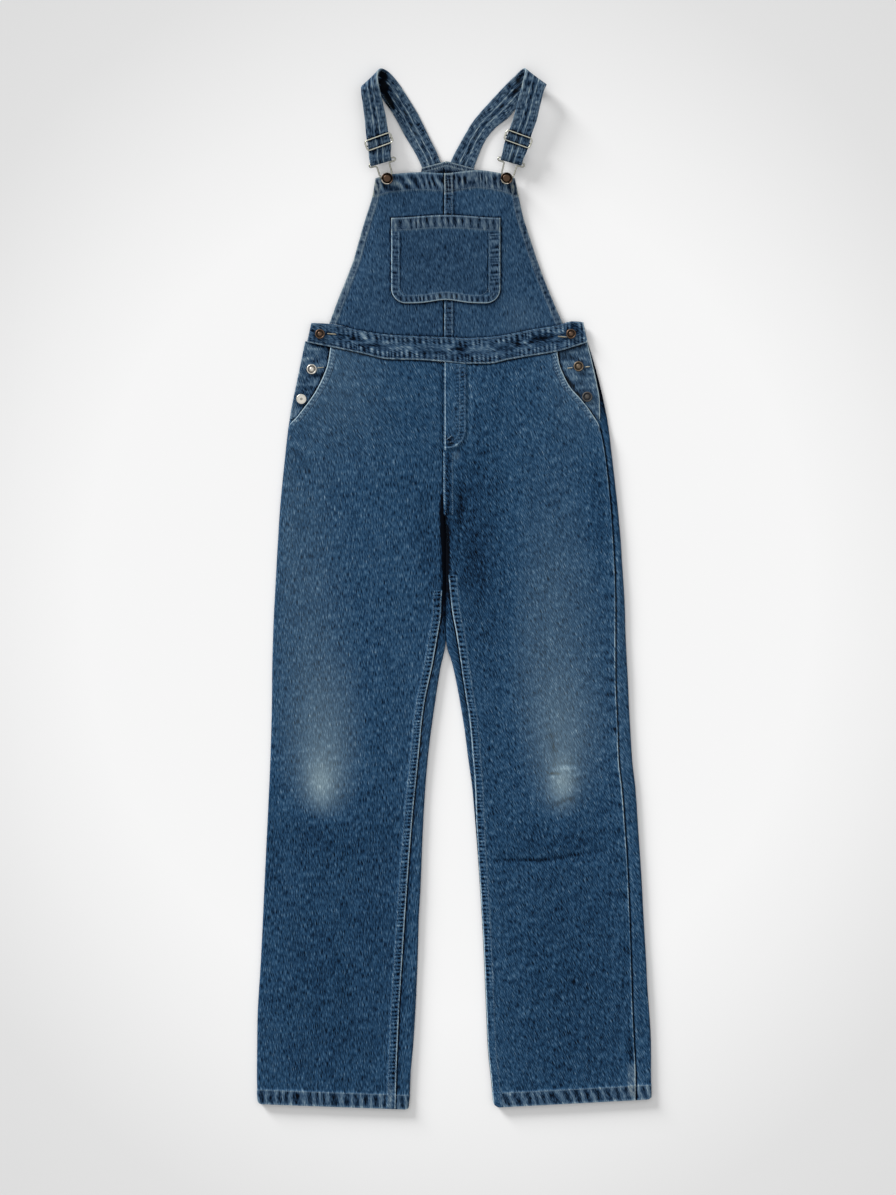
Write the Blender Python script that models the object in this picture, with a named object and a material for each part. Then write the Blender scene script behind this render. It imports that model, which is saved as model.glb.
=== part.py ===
"""Denim dungarees laid flat on their back: trousers, waistband, bib, straps and the metal parts.

The frame is metres, +Z up. The garment lies on the plane z = 0 with its front up, its legs towards -Y and its
straps towards +Y. Left and right are as seen from above, so left is -X. The origin is on the surface under
the middle of the garment.

Each trouser leg is a flattened tube of cloth. Its cross-section is a ring: a flat underside, a rounded fold at
each side and a flat top. The front panel is the stretch of the ring between the two seams, and the back panel
is the rest, so where a seam lies on the top the back panel wraps round the fold and shows beside it. Tables
give the ring's folds and seams at a few heights, and smooth curves join their rows. All lengths in the
tables are millimetres.
"""

import math

import bmesh
import bpy
import numpy as np
from mathutils import Matrix, Vector

MM = 0.001

# Driving dimensions, in millimetres
CLOTH = 1.3  # one layer of denim
SEAM_GAP = 0.35  # between two pieces that are sewn together
WAIST_GAP = 0.6  # between the waistband's curved edge and the leg panels
LEG_HEIGHT = 6.0  # a leg lying flat, over both layers
CROWN = 0.6  # how much the middle of a top layer stands above its folds
HIP_FOLD = 2.9  # the back panel folded over at the hip, under the pocket facing
HIP_LAP = 14.0  # how far it reaches in there
FACING_TOP = 4.4  # the pocket facing's upper face
FACING = 1.2
WAISTBAND = 2.4  # a folded waistband
STRAP = 2.3  # a strap sewn double
STRAP_HALF = 15.4  # half of its width
HEM = 21.0  # the turned-up hem at the ankles
HEM_RELIEF = 0.7
FELL = 11.5  # a flat-felled seam's band
FELL_RELIEF = 0.5
BIB_HEM = 26.0
BIB_SIDE_HEM = 10.0
BIB_HEIGHT = 225.0
BIB_TOP_BASE = 5.8  # the underside of the bib's top, over the straps' ends
CENTRE = -14.6  # x of the centre front and centre back seams
WIRE = 2.1  # the buckles' and sliders' wire
BUCKLE_HEIGHT = 9.7  # the plane of the buckles' wire
FORK = (118.0, 88.0)  # the y between which the two legs part

FRONT_LAYER = LEG_HEIGHT - CLOTH  # underside of the front pieces

# One row for each section of a leg, from the waist to the hem:
# y, the outer fold's x, the outer seam's (at the hip, the pocket edge's), the inner seam's and the inner
# fold's, and how far the inner fold rolls over
LEG_COLUMNS = ("y", "outer", "outer_seam", "inner_seam", "inner", "roll")
LEFT_LEG = (
    (350, -212.5, -176.0, -14.8, -14.8, 0.3),
    (325, -217.5, -180.0, -14.8, -14.8, 0.3),
    (305, -221.8, -186.6, -14.8, -14.8, 0.3),
    (285, -226.0, -195.5, -14.8, -14.8, 0.3),
    (266, -229.8, -207.0, -14.8, -14.8, 0.3),
    (245, -233.5, -223.0, -14.8, -14.8, 0.3),
    (230, -235.6, -235.0, -14.8, -14.8, 0.3),
    (190, -240.0, -239.4, -14.8, -14.8, 0.3),
    (118, -247.2, -246.6, -14.6, -14.6, 0.5),
    (77, -250.0, -249.4, -12.6, -12.1, 5.5),
    (20, -253.2, -252.6, -13.6, -12.1, 6.5),
    (0, -254.2, -253.6, -19.5, -12.1, 6.0),
    (-42, -256.5, -255.9, -27.3, -12.0, 4.5),
    (-72, -257.6, -257.0, -33.2, -12.0, 3.5),
    (-112, -258.5, -257.9, -39.5, -19.7, 3.0),
    (-160, -259.0, -258.4, -46.0, -27.3, 3.0),
    (-243, -261.3, -260.7, -54.0, -38.0, 3.0),
    (-318, -264.7, -264.1, -61.5, -43.5, 3.0),
    (-407, -269.0, -268.4, -68.5, -47.3, 3.0),
    (-524, -274.6, -274.0, -76.3, -51.8, 3.0),
    (-618, -279.6, -279.0, -81.8, -56.5, 3.0),
    (-696, -280.3, -279.7, -84.3, -62.0, 3.0),
    (-735, -279.2, -278.6, -84.8, -65.0, 3.0),
)
RIGHT_LEG = (
    (350, 190.0, 146.0, -14.4, -14.4, 0.3),
    (334, 195.0, 148.5, -14.4, -14.4, 0.3),
    (310, 201.8, 156.3, -14.4, -14.4, 0.3),
    (291, 206.6, 165.0, -14.4, -14.4, 0.3),
    (272, 211.0, 178.8, -14.4, -14.4, 0.3),
    (250, 215.4, 194.3, -14.4, -14.4, 0.3),
    (232, 218.4, 205.0, -14.4, -14.4, 0.3),
    (190, 223.3, 213.6, -14.4, -14.4, 0.3),
    (118, 231.6, 221.4, -14.2, -14.2, 0.5),
    (77, 235.3, 224.4, -10.2, -11.2, 5.5),
    (22, 239.0, 227.3, -5.0, -11.2, 5.5),
    (-28, 242.0, 228.3, -0.3, -11.2, 4.5),
    (-68, 243.2, 228.3, 6.6, -10.8, 3.5),
    (-118, 245.5, 228.3, 13.2, -0.3, 3.0),
    (-156, 247.4, 229.5, 16.8, 7.2, 3.0),
    (-201, 249.8, 231.5, 21.0, 14.6, 3.0),
    (-243, 252.2, 233.0, 24.4, 20.0, 3.0),
    (-283, 257.0, 237.5, 27.7, 25.5, 3.0),
    (-335, 260.5, 241.5, 31.0, 29.8, 3.0),
    (-403, 265.0, 245.8, 35.5, 34.9, 3.0),
    (-490, 270.0, 249.2, 40.8, 40.2, 3.0),
    (-593, 276.6, 252.4, 45.3, 44.7, 3.0),
    (-645, 279.3, 254.6, 47.7, 47.1, 3.0),
    (-696, 280.3, 257.0, 52.9, 52.3, 3.0),
    (-735, 279.6, 257.0, 56.6, 56.0, 3.0),
)
# Each leg's table, its hem's y at the middle and the hem's slope
LEGS = {
    "left": (LEFT_LEG, -734.5, -0.0364),
    "right": (RIGHT_LEG, -729.7, 0.053),
}

# The waistband's lower and upper edges, from its left end to its right end
WAIST_COLUMNS = ("x", "lower", "upper")
WAIST = (
    (-209, 349.7, 377.5),
    (-176, 343.2, 376.0),
    (-133, 334.3, 366.5),
    (-93, 325.6, 360.6),
    (-52, 324.6, 358.6),
    (-15, 322.0, 357.1),
    (17, 319.2, 355.9),
    (50, 319.6, 357.4),
    (78, 325.4, 361.4),
    (112, 330.9, 368.2),
    (147, 337.0, 374.2),
    (168, 343.0, 379.6),
    (189, 349.7, 377.5),
)
WAIST_LEAN = 6.0  # how far the waistband's ends lean in over their height
BACK_WAIST_COLUMNS = ("x", "lower", "upper")
BACK_WAIST = ((-207, 349.2, 376.5), (CENTRE, 322.0, 356.0), (187, 349.2, 376.5))

# The bib's side edges, from the waistband up
BIB_COLUMNS = ("y", "left", "right")
BIB = (
    (376, -177.5, 154.0),
    (411, -165.3, 139.8),
    (444, -153.0, 127.0),
    (473, -142.6, 116.6),
    (505, -133.6, 106.2),
    (532, -125.2, 97.4),
    (561, -116.0, 90.8),
    (584, -112.0, 85.8),
)
BIB_TOP_COLUMNS = ("x", "y")
BIB_TOP = (
    (-112, 582.5),
    (-85, 588.6),
    (-47, 591.0),
    (-14, 589.6),
    (11, 592.0),
    (32, 594.0),
    (63, 590.0),
    (86, 582.5),
)
# The back of the bib, which narrows to the straps
BACK_BIB = (
    (380, -150.0, 124.0),
    (440, -112.0, 88.0),
    (500, -78.0, 56.0),
    (560, -54.0, 34.0),
    (597, -46.3, 27.8),
)
YOKE_PEAK = 607.0  # y of the point where the straps part
YOKE_SHOULDER = 597.0
YOKE_LOWER = 562.0
YOKE_LEFT, YOKE_RIGHT = -46.3, 27.8
YOKE_BASE = 4.3
YOKE = 1.2

POCKET_LEFT, POCKET_RIGHT = -89.5, 65.0
POCKET_TOP, POCKET_LOWER = 526.0, 405.0
POCKET_RISE = 4.0  # the pocket mouth bows up at its middle
POCKET_NOTCH = 5.0  # the pocket's lower edge bows up at its middle
POCKET_CORNER = 21.0
POCKET_HEM = 18.5
POCKET_RELIEF = 0.5
POCKET_BASE = 0.9  # above the bib's plain face, clear of its middle seam

FLY_WIDTH = 31.0
FLY_LENGTH = 124.0
FLY_FOOT = 0.74  # the share of its length where its foot starts to curve in
FLY = 0.9

# Soft folds in the top layer: each row has one end's x and y, the other end's x and y, half the fold's width and
# its height, which is below zero for a trough
FOLDS = (
    (62, -386, 150, -385, 8, -1.2),
    (150, -385, 218, -371, 8, -0.9),
    (10, 128, 26, 40, 13, -1.1),
    (-32, 120, -40, 30, 12, -0.7),
    (-102, 148, -56, 144, 8, -0.5),
    (140, -262, 176, -266, 9, 0.8),
    (136, -300, 168, -292, 8, 0.7),
    (-190, -250, -168, -290, 16, 0.8),
    (150, -215, 158, -310, 20, 0.7),
    (-228, 205, -190, 160, 9, 0.6),
    (-226, 180, -196, 120, 9, -0.5),
    (-60, -120, -50, -300, 14, -0.5),
)

# One row for each section of a strap, from the slider up over the fold at the shoulder and down to the yoke:
# the outer edge's x, y and z and then the inner edge's x, y and z, at the middle of the strap's thickness
LEFT_STRAP_FRONT = (
    (-120.8, 620.5, 12.9, -89.7, 628.4, 12.9),
    (-124.4, 638.0, 13.2, -93.2, 645.4, 13.2),
    (-127.2, 666.0, 14.8, -97.3, 671.0, 14.4),
    (-130.2, 689.0, 16.6, -102.0, 691.0, 16.0),
    (-132.0, 701.0, 17.2, -105.8, 708.0, 18.0),
    (-132.2, 707.0, 15.4, -108.0, 720.0, 19.0),
    (-131.6, 711.0, 11.2, -107.8, 731.5, 16.5),
    (-128.6, 711.4, 6.6, -104.4, 737.2, 11.0),
    (-122.4, 708.6, 3.4, -98.4, 736.6, 6.0),
    (-111.0, 704.0, 1.8, -88.6, 729.2, 2.9),
    (-103.8, 698.6, 1.4, -79.8, 718.6, 1.6),
    (-98.4, 690.4, 1.3, -72.4, 707.6, 1.3),
    (-90.6, 679.4, 1.3, -63.8, 694.0, 1.3),
    (-81.4, 664.0, 1.3, -54.0, 678.0, 1.3),
    (-70.2, 643.0, 1.5, -42.6, 655.6, 1.4),
    (-60.8, 627.4, 2.0, -34.0, 637.6, 1.9),
    (-51.2, 610.0, 2.7, -25.0, 619.2, 2.7),
    (-46.2, 598.4, 2.8, -20.4, 607.4, 2.8),
    (-41.6, 586.0, 2.8, -16.6, 596.0, 2.8),
)
RIGHT_STRAP_FRONT = (
    (104.4, 624.6, 12.9, 71.2, 633.2, 12.9),
    (108.8, 641.8, 13.2, 76.6, 647.6, 13.2),
    (116.4, 663.2, 14.8, 83.9, 668.8, 14.4),
    (122.2, 687.4, 16.6, 89.6, 690.2, 16.0),
    (127.2, 706.4, 17.6, 95.2, 711.4, 18.0),
    (129.6, 711.6, 16.0, 98.4, 725.0, 19.0),
    (130.2, 714.0, 11.4, 100.2, 734.4, 16.6),
    (127.6, 712.4, 6.6, 98.8, 737.6, 11.0),
    (121.0, 707.8, 3.4, 93.2, 734.8, 6.0),
    (106.4, 700.6, 1.9, 86.6, 728.4, 2.9),
    (96.0, 692.4, 1.4, 76.8, 719.4, 1.6),
    (86.6, 681.4, 1.3, 68.4, 710.8, 1.3),
    (78.4, 671.0, 1.3, 59.2, 701.0, 1.3),
    (69.4, 663.4, 1.3, 50.6, 691.6, 1.3),
    (60.8, 656.8, 1.3, 41.4, 681.6, 1.3),
    (52.6, 648.4, 1.3, 32.8, 671.6, 1.3),
    (46.4, 640.4, 1.4, 24.0, 660.0, 1.4),
    (40.2, 629.6, 1.6, 15.8, 646.2, 1.6),
    (35.4, 617.8, 2.1, 8.2, 632.6, 2.1),
    (30.6, 605.6, 2.7, 1.6, 620.4, 2.7),
    (27.2, 596.4, 2.8, -4.6, 607.8, 2.8),
    (20.6, 583.8, 2.8, -9.6, 596.4, 2.8),
)
STRAP_RETURN = WIRE + 2 * SEAM_GAP + STRAP  # from the strap's front layer to the layer that comes back under it
# Each strap's front rows, its side's sign, how far it has slipped along the buckle's bar, the buckle's button,
# the buckle's lean and the slider's, in degrees
STRAPS = {
    "left": (LEFT_STRAP_FRONT, -1, -1.7, (-95.3, 581.2), 16.5, 20.0),
    "right": (RIGHT_STRAP_FRONT, 1, 0.0, (73.9, 581.6), -15.5, -20.0),
}
BUCKLE_REACH = 26.8  # from the button's middle to the bar that the strap goes round
BUCKLE_EAR = (16.6, 2.5)  # the ear's middle along the bar, and its radius
BUCKLE_NECK = 9.0  # half of the neck's width
SLIDER_SIZE = (40.5, 16.5)
SLIDER_CORNER = 4.0

# Buttons: radius, height of the cap and of the shank
BIB_BUTTON = (8.5, 3.0, 3.0)
WAIST_BUTTON = (7.0, 1.9, 0.7)
HIP_BUTTON = (7.2, 1.7, 0.6)
SHANK_SHARE = 0.42  # the shank's radius over the cap's
WAIST_BUTTONS = {"left": (-190.6, 361.5), "right": (165.4, 361.6)}
HIP_BUTTONS = {
    "left": {"upper": (-202.4, 311.7), "lower": (-217.0, 269.4)},
    "right": {"upper": (176.1, 315.8), "lower": (188.4, 272.6)},
}

DENIM = ((0.035, 0.075, 0.145), 0.88, 0.0)
DENIM_LIGHT = ((0.06, 0.10, 0.17), 0.88, 0.0)
NICKEL = ((0.55, 0.50, 0.42), 0.35, 1.0)
COPPER = ((0.26, 0.13, 0.06), 0.4, 1.0)
SILVER = ((0.62, 0.58, 0.52), 0.35, 1.0)


# Curves through tables


def through(knots, values, at):
    """The smooth curve through a table's rows, read at the places in at. Its cubic pieces never overshoot."""
    order = np.argsort(knots)
    knots = np.asarray(knots, float)[order]
    values = np.asarray(values, float)[order]
    step = np.diff(knots)
    slope = np.diff(values) / step
    product = slope[:-1] * slope[1:]
    total = slope[:-1] + slope[1:]
    level = np.abs(total) < 1e-9
    middle = np.where((product > 0) & ~level, 2 * product / np.where(level, 1, total), 0)
    tangent = np.concatenate([slope[:1], middle, slope[-1:]])
    at = np.clip(at, knots[0], knots[-1])
    i = np.clip(np.searchsorted(knots, at) - 1, 0, len(step) - 1)
    t = (at - knots[i]) / step[i]
    start = values[i] * (1 + 2 * t) * (1 - t) ** 2 + tangent[i] * step[i] * t * (1 - t) ** 2
    end = values[i + 1] * t**2 * (3 - 2 * t) + tangent[i + 1] * step[i] * t**2 * (t - 1)
    return start + end


def column(table, names, name, at):
    """One named column of a table, as a smooth curve over the table's first column."""
    rows = np.asarray(table, float)
    return through(rows[:, 0], rows[:, names.index(name)], at)


def ease(t):
    """0 below 0, 1 above 1, and a smooth step between."""
    t = np.clip(t, 0, 1)
    return t * t * (3 - 2 * t)


# The cloth's height


def fold_height(x, y):
    """The soft folds' height at a place: each fades over its half width and past its two ends."""
    height = np.zeros(np.broadcast(x, y).shape)
    for x1, y1, x2, y2, half_width, rise in FOLDS:
        along = np.array([x2 - x1, y2 - y1], float)
        length = math.hypot(*along)
        along /= length
        s = (x - x1) * along[0] + (y - y1) * along[1]
        off = (x - x1) * -along[1] + (y - y1) * along[0]
        past = np.clip(np.abs(s - length / 2) - length / 2, 0, None)
        height = height + rise * np.exp(-(off**2 + past**2) / half_width**2)
    return height


def lift(x, y, z, left, right):
    """How far a point of the ring rises: the crown and the folds, in full on top and nothing underneath."""
    share = np.clip((x - left) / (right - left), 0, 1)
    crown = CROWN * (1 - (2 * share - 1) ** 4)
    return (crown + fold_height(x, y)) * ease(z / LEG_HEIGHT)


# Rings and panels of the trousers

ARC_POINTS = 14


def ring(left, right, left_roll, right_roll, left_height, height):
    """The closed section of a leg from its left fold over the top to its right fold and back underneath.

    Each fold is two quarter ellipses that meet at mid height. Returns the points and, for the inside, the
    unit normals that point into the cloth.
    """
    quarter = np.linspace(0, math.pi / 2, ARC_POINTS)
    rise = np.stack([left + left_roll * (1 - np.cos(quarter)), left_height / 2 * (1 + np.sin(quarter))], 1)
    fall = np.stack([right - right_roll * (1 - np.sin(quarter)), height / 2 * (1 + np.cos(quarter))], 1)
    under_right = np.stack(
        [right - right_roll * (1 - np.cos(quarter)), height / 2 * (1 - np.sin(quarter))], 1
    )
    under_left = np.stack(
        [left + left_roll * (1 - np.sin(quarter)), left_height / 2 * (1 - np.cos(quarter))], 1
    )
    points = np.concatenate([rise, fall, under_right[1:], under_left])
    step = np.roll(points, -1, 0) - np.roll(points, 1, 0)
    normal = np.stack([step[:, 1], -step[:, 0]], 1)
    return points, normal / np.linalg.norm(normal, axis=1, keepdims=True)


def along_ring(points, wanted):
    """Where the ring is at each distance in wanted, measured from the left fold over the top."""
    closed = np.concatenate([points, points[:1]])
    reach = np.concatenate([[0], np.cumsum(np.linalg.norm(np.diff(closed, axis=0), axis=1))])
    wanted = np.mod(wanted, reach[-1])
    return reach, np.searchsorted(reach, wanted, side="right") - 1, wanted


def walk(points, normals, wanted):
    """The ring's points and inward normals at each distance in wanted."""
    reach, i, wanted = along_ring(points, wanted)
    t = ((wanted - reach[i]) / (reach[i + 1] - reach[i]))[:, None]
    following = (i + 1) % len(points)
    place = points[i] * (1 - t) + points[following] * t
    inward = normals[i] * (1 - t) + normals[following] * t
    return place, inward / np.linalg.norm(inward, axis=1, keepdims=True)


def seam_distance(points, top_count, x):
    """How far over the top a seam lies that is seen at x from above."""
    top = points[:top_count]
    reach = np.concatenate([[0], np.cumsum(np.linalg.norm(np.diff(top, axis=0), axis=1))])
    return float(np.interp(x, top[:, 0], reach)), float(reach[-1])


def waist_edge(x, edge, front):
    """The y of one of the waistband's edges. The back waistband's edges are straight on each side."""
    if front:
        return column(WAIST, WAIST_COLUMNS, edge, x)
    rows = np.asarray(BACK_WAIST)
    return np.interp(x, rows[:, 0], rows[:, BACK_WAIST_COLUMNS.index(edge)])


def leg_y(side, x, level, front):
    """The y of a point: the hem slopes, and the top follows the waistband's lower edge."""
    _, hem_y, hem_slope = LEGS[side]
    middle = -170.0 if side == "left" else 168.0
    near_hem = ease((-560 - level) / 150)
    top = waist_edge(x, "lower", front) - WAIST_GAP
    near_top = ease((level - 200) / 150)
    return level + near_hem * hem_slope * (x - middle) + near_top * (top - 350)


def leg_levels(side):
    """The heights of the sections: even, and closer together at the waist, the hem, the fork and the crease."""
    hem_y = LEGS[side][1]
    main = np.concatenate(
        [
            np.linspace(350, 282, 3),
            np.linspace(256, 200, 4),
            np.linspace(165, 25, 5),
            np.linspace(-20, -330, 8),
            np.linspace(-358, -412, 4),
            np.linspace(-470, hem_y + HEM + 28, 5),
        ]
    )
    return np.concatenate([main, hem_y + HEM + np.array([1.5, 0.0]), [hem_y + HEM / 2, hem_y]])


def panel_section(side, level, front):
    """One section of a leg's front or back panel: outer points and inner points, each (x, y, z)."""
    table = LEGS[side][0]
    outer, outer_seam, inner_seam, inner, roll = (
        float(column(table, LEG_COLUMNS, name, level)) for name in LEG_COLUMNS[1:]
    )
    hip = float(ease((level - 203) / 34))
    lap = float(ease((level - 237) / 20))
    mirror = 1 if side == "left" else -1
    left, right = mirror * outer, mirror * inner
    outer_height = LEG_HEIGHT
    if not front:
        outer_height += hip * (HIP_FOLD - LEG_HEIGHT)
        outer_seam += lap * (outer + mirror * HIP_LAP - outer_seam)
    points, normals = ring(left, right, outer_height / 2, roll, outer_height, LEG_HEIGHT)
    start, _ = seam_distance(points, 2 * ARC_POINTS, mirror * outer_seam)
    end, top = seam_distance(points, 2 * ARC_POINTS, mirror * inner_seam)
    apart = float(1 - ease((level - FORK[1]) / (FORK[0] - FORK[1])))
    corner = LEG_HEIGHT / 2
    if front:
        end = apart * end + (1 - apart) * (top - corner)
        distances = front_stations(start + SEAM_GAP / 2, end - SEAM_GAP / 2)
    else:
        total = float(np.linalg.norm(np.diff(np.concatenate([points, points[:1]]), axis=0), axis=1).sum())
        begin = apart * end + (1 - apart) * (top + corner)
        distances = back_stations(points, begin + SEAM_GAP / 2, total + start - SEAM_GAP / 2)
    place, inward = walk(points, normals, distances)
    inner_place = place + inward * CLOTH
    raised = place - inward * relief(side, level, place[:, 1], front)[:, None]
    lying = 1.0 if front else 1 - hip
    rows = []
    for section in (raised, inner_place):
        x = mirror * section[:, 0]
        y = leg_y(side, x, level, front)
        z = section[:, 1] + lying * lift(x, y, section[:, 1], min(outer, inner), max(outer, inner))
        rows.append(np.stack([x, y, z], 1))
    return rows


def front_stations(start, end):
    """Distances across a front panel: close by both seams, with the felled seam's band at the inner one."""
    from_start = start + np.array([0.0, 2.4, 6.0])
    from_end = end - np.array([FELL + 1.5, FELL, 0.0])
    between = np.linspace(from_start[-1], from_end[0], 7)[1:-1]
    return np.concatenate([from_start, between, from_end])


BACK_STATIONS = 13
TURN_STATIONS = 2.2  # stations for each quarter turn
FLAT_STEP = 48.0


def back_stations(points, start, end):
    """Distances round a back panel, closer together where the ring bends."""
    fine = np.linspace(start, end, 400)
    place, _ = walk(points, points, fine)
    heading = np.unwrap(np.arctan2(*np.diff(place, axis=0).T[::-1]))
    turned = np.concatenate([[0], np.cumsum(np.abs(np.diff(heading))), [0]])
    turned[-1] = turned[-2]
    weight = (fine - start) / FLAT_STEP + turned * TURN_STATIONS / (math.pi / 2)
    return np.interp(np.linspace(0, weight[-1], BACK_STATIONS), weight, fine)


def relief(side, level, height, front):
    """How far the outer face stands out: the hem on the upper side, and a front panel's felled inner seam."""
    raised = np.zeros(len(height))
    if level <= LEGS[side][1] + HEM + 0.1:
        raised += HEM_RELIEF * ease(height / LEG_HEIGHT)
    if front and level < FORK[1]:
        raised[-2:] += FELL_RELIEF
    return raised


# Solids


def wall(name, outer, inner, finish):
    """A closed wall between two grids of points: its two faces and the rim that joins them."""
    outer, inner = np.asarray(outer), np.asarray(inner)
    rows, columns = outer.shape[:2]
    bm = bmesh.new()
    grids = [[[bm.verts.new(Vector(p) * MM) for p in row] for row in grid] for grid in (outer, inner)]
    for grid, flip in zip(grids, (1, -1)):
        for i in range(rows - 1):
            for j in range(columns - 1):
                corners = [grid[i][j], grid[i][j + 1], grid[i + 1][j + 1], grid[i + 1][j]]
                bm.faces.new(corners[::flip])
    around = [(0, j) for j in range(columns)] + [(i, columns - 1) for i in range(1, rows)]
    around += [(rows - 1, j) for j in range(columns - 2, -1, -1)] + [(i, 0) for i in range(rows - 2, 0, -1)]
    for (i, j), (k, m) in zip(around, around[1:] + around[:1]):
        bm.faces.new([grids[0][k][m], grids[0][i][j], grids[1][i][j], grids[1][k][m]])
    return solid_from(name, bm, finish)


def solid_from(name, bm, finish):
    """An object from a closed mesh, with its faces turned outwards."""
    if bm.calc_volume(signed=True) < 0:
        bmesh.ops.reverse_faces(bm, faces=bm.faces[:])
    mesh = bpy.data.meshes.new(name)
    bm.to_mesh(mesh)
    bm.free()
    mesh.shade_smooth()
    mesh.set_sharp_from_angle(angle=math.radians(40))
    obj = bpy.data.objects.new(name, mesh)
    bpy.context.scene.collection.objects.link(obj)
    mesh.materials.append(material(*finish))
    return obj


def material(colour, roughness, metallic):
    """A Principled BSDF, made once for each finish."""
    name = "finish_" + "_".join(f"{round(c * 1000)}" for c in colour)
    made = bpy.data.materials.get(name)
    if made is None:
        made = bpy.data.materials.new(name)
        made.use_nodes = True
        shader = made.node_tree.nodes["Principled BSDF"]
        shader.inputs["Base Color"].default_value = (*colour, 1)
        shader.inputs["Roughness"].default_value = roughness
        shader.inputs["Metallic"].default_value = metallic
        made.diffuse_color = (*colour, 1)
    return made


# Cloth pieces


def leg_panel(side, front):
    sections = [panel_section(side, level, front) for level in leg_levels(side)]
    name = f"{'front' if front else 'back'}_leg_{side}"
    wall(name, [s[0] for s in sections], [s[1] for s in sections], DENIM)


def flat_panel(name, xs_at, levels, y_at, base_at, thick_at, columns, finish=DENIM):
    """A panel over a grid: xs_at gives its side edges at a level, y_at the real y, base_at the underside."""
    upper, lower = [], []
    for level in levels:
        left, right = xs_at(level)
        x = left + (right - left) * np.asarray(columns)
        y = y_at(x, level)
        base = base_at(x, y)
        upper.append(np.stack([x, y, base + thick_at(x, y)], 1))
        lower.append(np.stack([x, y, base], 1))
    return wall(name, upper, lower, finish)


def bib_base(x, y):
    """The underside of the front bib: it rises over the straps' ends, and its side edges droop."""
    rise = (BIB_TOP_BASE - FRONT_LAYER) * ease((y - 400) / 145)
    left = column(BIB, BIB_COLUMNS, "left", y)
    right = column(BIB, BIB_COLUMNS, "right", y)
    edge = np.minimum(x - left, right - x)
    droop = 2.8 * (1 - ease(edge / 30)) * np.sin(math.pi * np.clip((y - 380) / 195, 0, 1))
    return FRONT_LAYER + rise - droop


def bib_y(x, level):
    """The y at a share of the bib's height: the waistband's upper edge at 0 and the bib's top at 1."""
    low = column(WAIST, WAIST_COLUMNS, "upper", x) + SEAM_GAP
    high = column(BIB_TOP, BIB_TOP_COLUMNS, "y", x)
    return low + (high - low) * level


def bib_half(side):
    """Half of the bib: its top hem, its side hem and, on the right half, the felled middle seam stand out."""
    hem_share = 1 - BIB_HEM / BIB_HEIGHT
    levels = np.concatenate([np.linspace(0, hem_share - 0.008, 8), [hem_share, (1 + hem_share) / 2, 1]])

    def sides(level):
        y = BIB[0][0] + level * (BIB[-1][0] - BIB[0][0])
        edge = float(column(BIB, BIB_COLUMNS, side, y))
        return (edge, CENTRE - 0.15) if side == "left" else (CENTRE + 0.15, edge)

    def thickness(x, y):
        edge = np.abs(x - column(BIB, BIB_COLUMNS, side, y))
        high = column(BIB_TOP, BIB_TOP_COLUMNS, "y", x)
        hem = np.where(y > high - BIB_HEM - 0.5, 0.8, 0.0)
        side_hem = np.where(edge < BIB_SIDE_HEM + 0.1, 0.5, 0.0)
        fell = np.where((x - CENTRE < 13.1) & (side == "right"), FELL_RELIEF, 0.0)
        return CLOTH + np.maximum(np.maximum(hem, side_hem), fell)

    def columns_at(level):
        left, right = sides(level)
        width = right - left
        hemmed = np.array([0.0, BIB_SIDE_HEM, BIB_SIDE_HEM + 1.5]) / width
        felled = np.array([0.0, 13.0, 14.5]) / width
        if side == "left":
            return np.concatenate([hemmed, np.linspace(hemmed[-1], 1, 8)[1:]])
        return np.concatenate([felled, np.linspace(felled[-1], 1 - hemmed[-1], 7)[1:], 1 - hemmed[1::-1]])

    upper, lower = [], []
    for level in levels:
        left, right = sides(level)
        x = left + (right - left) * columns_at(level)
        y = bib_y(x, level)
        base = bib_base(x, y)
        upper.append(np.stack([x, y, base + thickness(x, y)], 1))
        lower.append(np.stack([x, y, base], 1))
    wall(f"bib_{side}", upper, lower, DENIM)


def waistband(front):
    """A waistband between its two edges, from end to end. Its ends lean in towards the top."""
    table = WAIST if front else BACK_WAIST
    base = FRONT_LAYER if front else 0.0
    left, right = table[0][0], table[-1][0]
    middle = (CENTRE - left) / (right - left)
    half = 14 if front else 4
    along = np.concatenate([np.linspace(0, middle, half), np.linspace(middle, 1, half)[1:]])
    upper, lower = [], []
    for share in (0.0, 0.12, 0.88, 1.0):
        lean = WAIST_LEAN * share
        x = left + (right - left) * along + lean * (1 - 2 * along)
        low = waist_edge(x, "lower", front)
        y = low + (waist_edge(x, "upper", front) - low) * share
        edge = 0.35 if share in (0.0, 1.0) else 0.0
        rise = CROWN * np.sin(math.pi * along) if front else np.zeros(len(x))
        upper.append(np.stack([x, y, base + WAISTBAND - edge + rise], 1))
        lower.append(np.stack([x, y, base + rise], 1))
    wall("waistband_front" if front else "waistband_back", upper, lower, DENIM)


def back_bib():
    """The back of the bib lies on the surface and narrows to the point where the straps part."""

    def y_at(x, level):
        low = waist_edge(x, "upper", False) + SEAM_GAP
        return low + (yoke_top(x) - low) * level

    def sides(level):
        y = 380 + level * (597 - 380)
        return tuple(float(column(BACK_BIB, BIB_COLUMNS, s, y)) for s in ("left", "right"))

    flat_panel(
        "bib_back",
        sides,
        np.linspace(0, 1, 9),
        y_at,
        lambda x, y: np.zeros(len(x)),
        lambda x, y: np.full(len(x), YOKE),
        yoke_shares(),
    )


def yoke_peak_x():
    return (YOKE_LEFT + YOKE_RIGHT) / 2 - 1.7


def yoke_shares():
    """Shares across the yoke, with one at its point."""
    middle = (yoke_peak_x() - YOKE_LEFT) / (YOKE_RIGHT - YOKE_LEFT)
    return np.concatenate([np.linspace(0, middle, 5), np.linspace(middle, 1, 5)[1:]])


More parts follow.
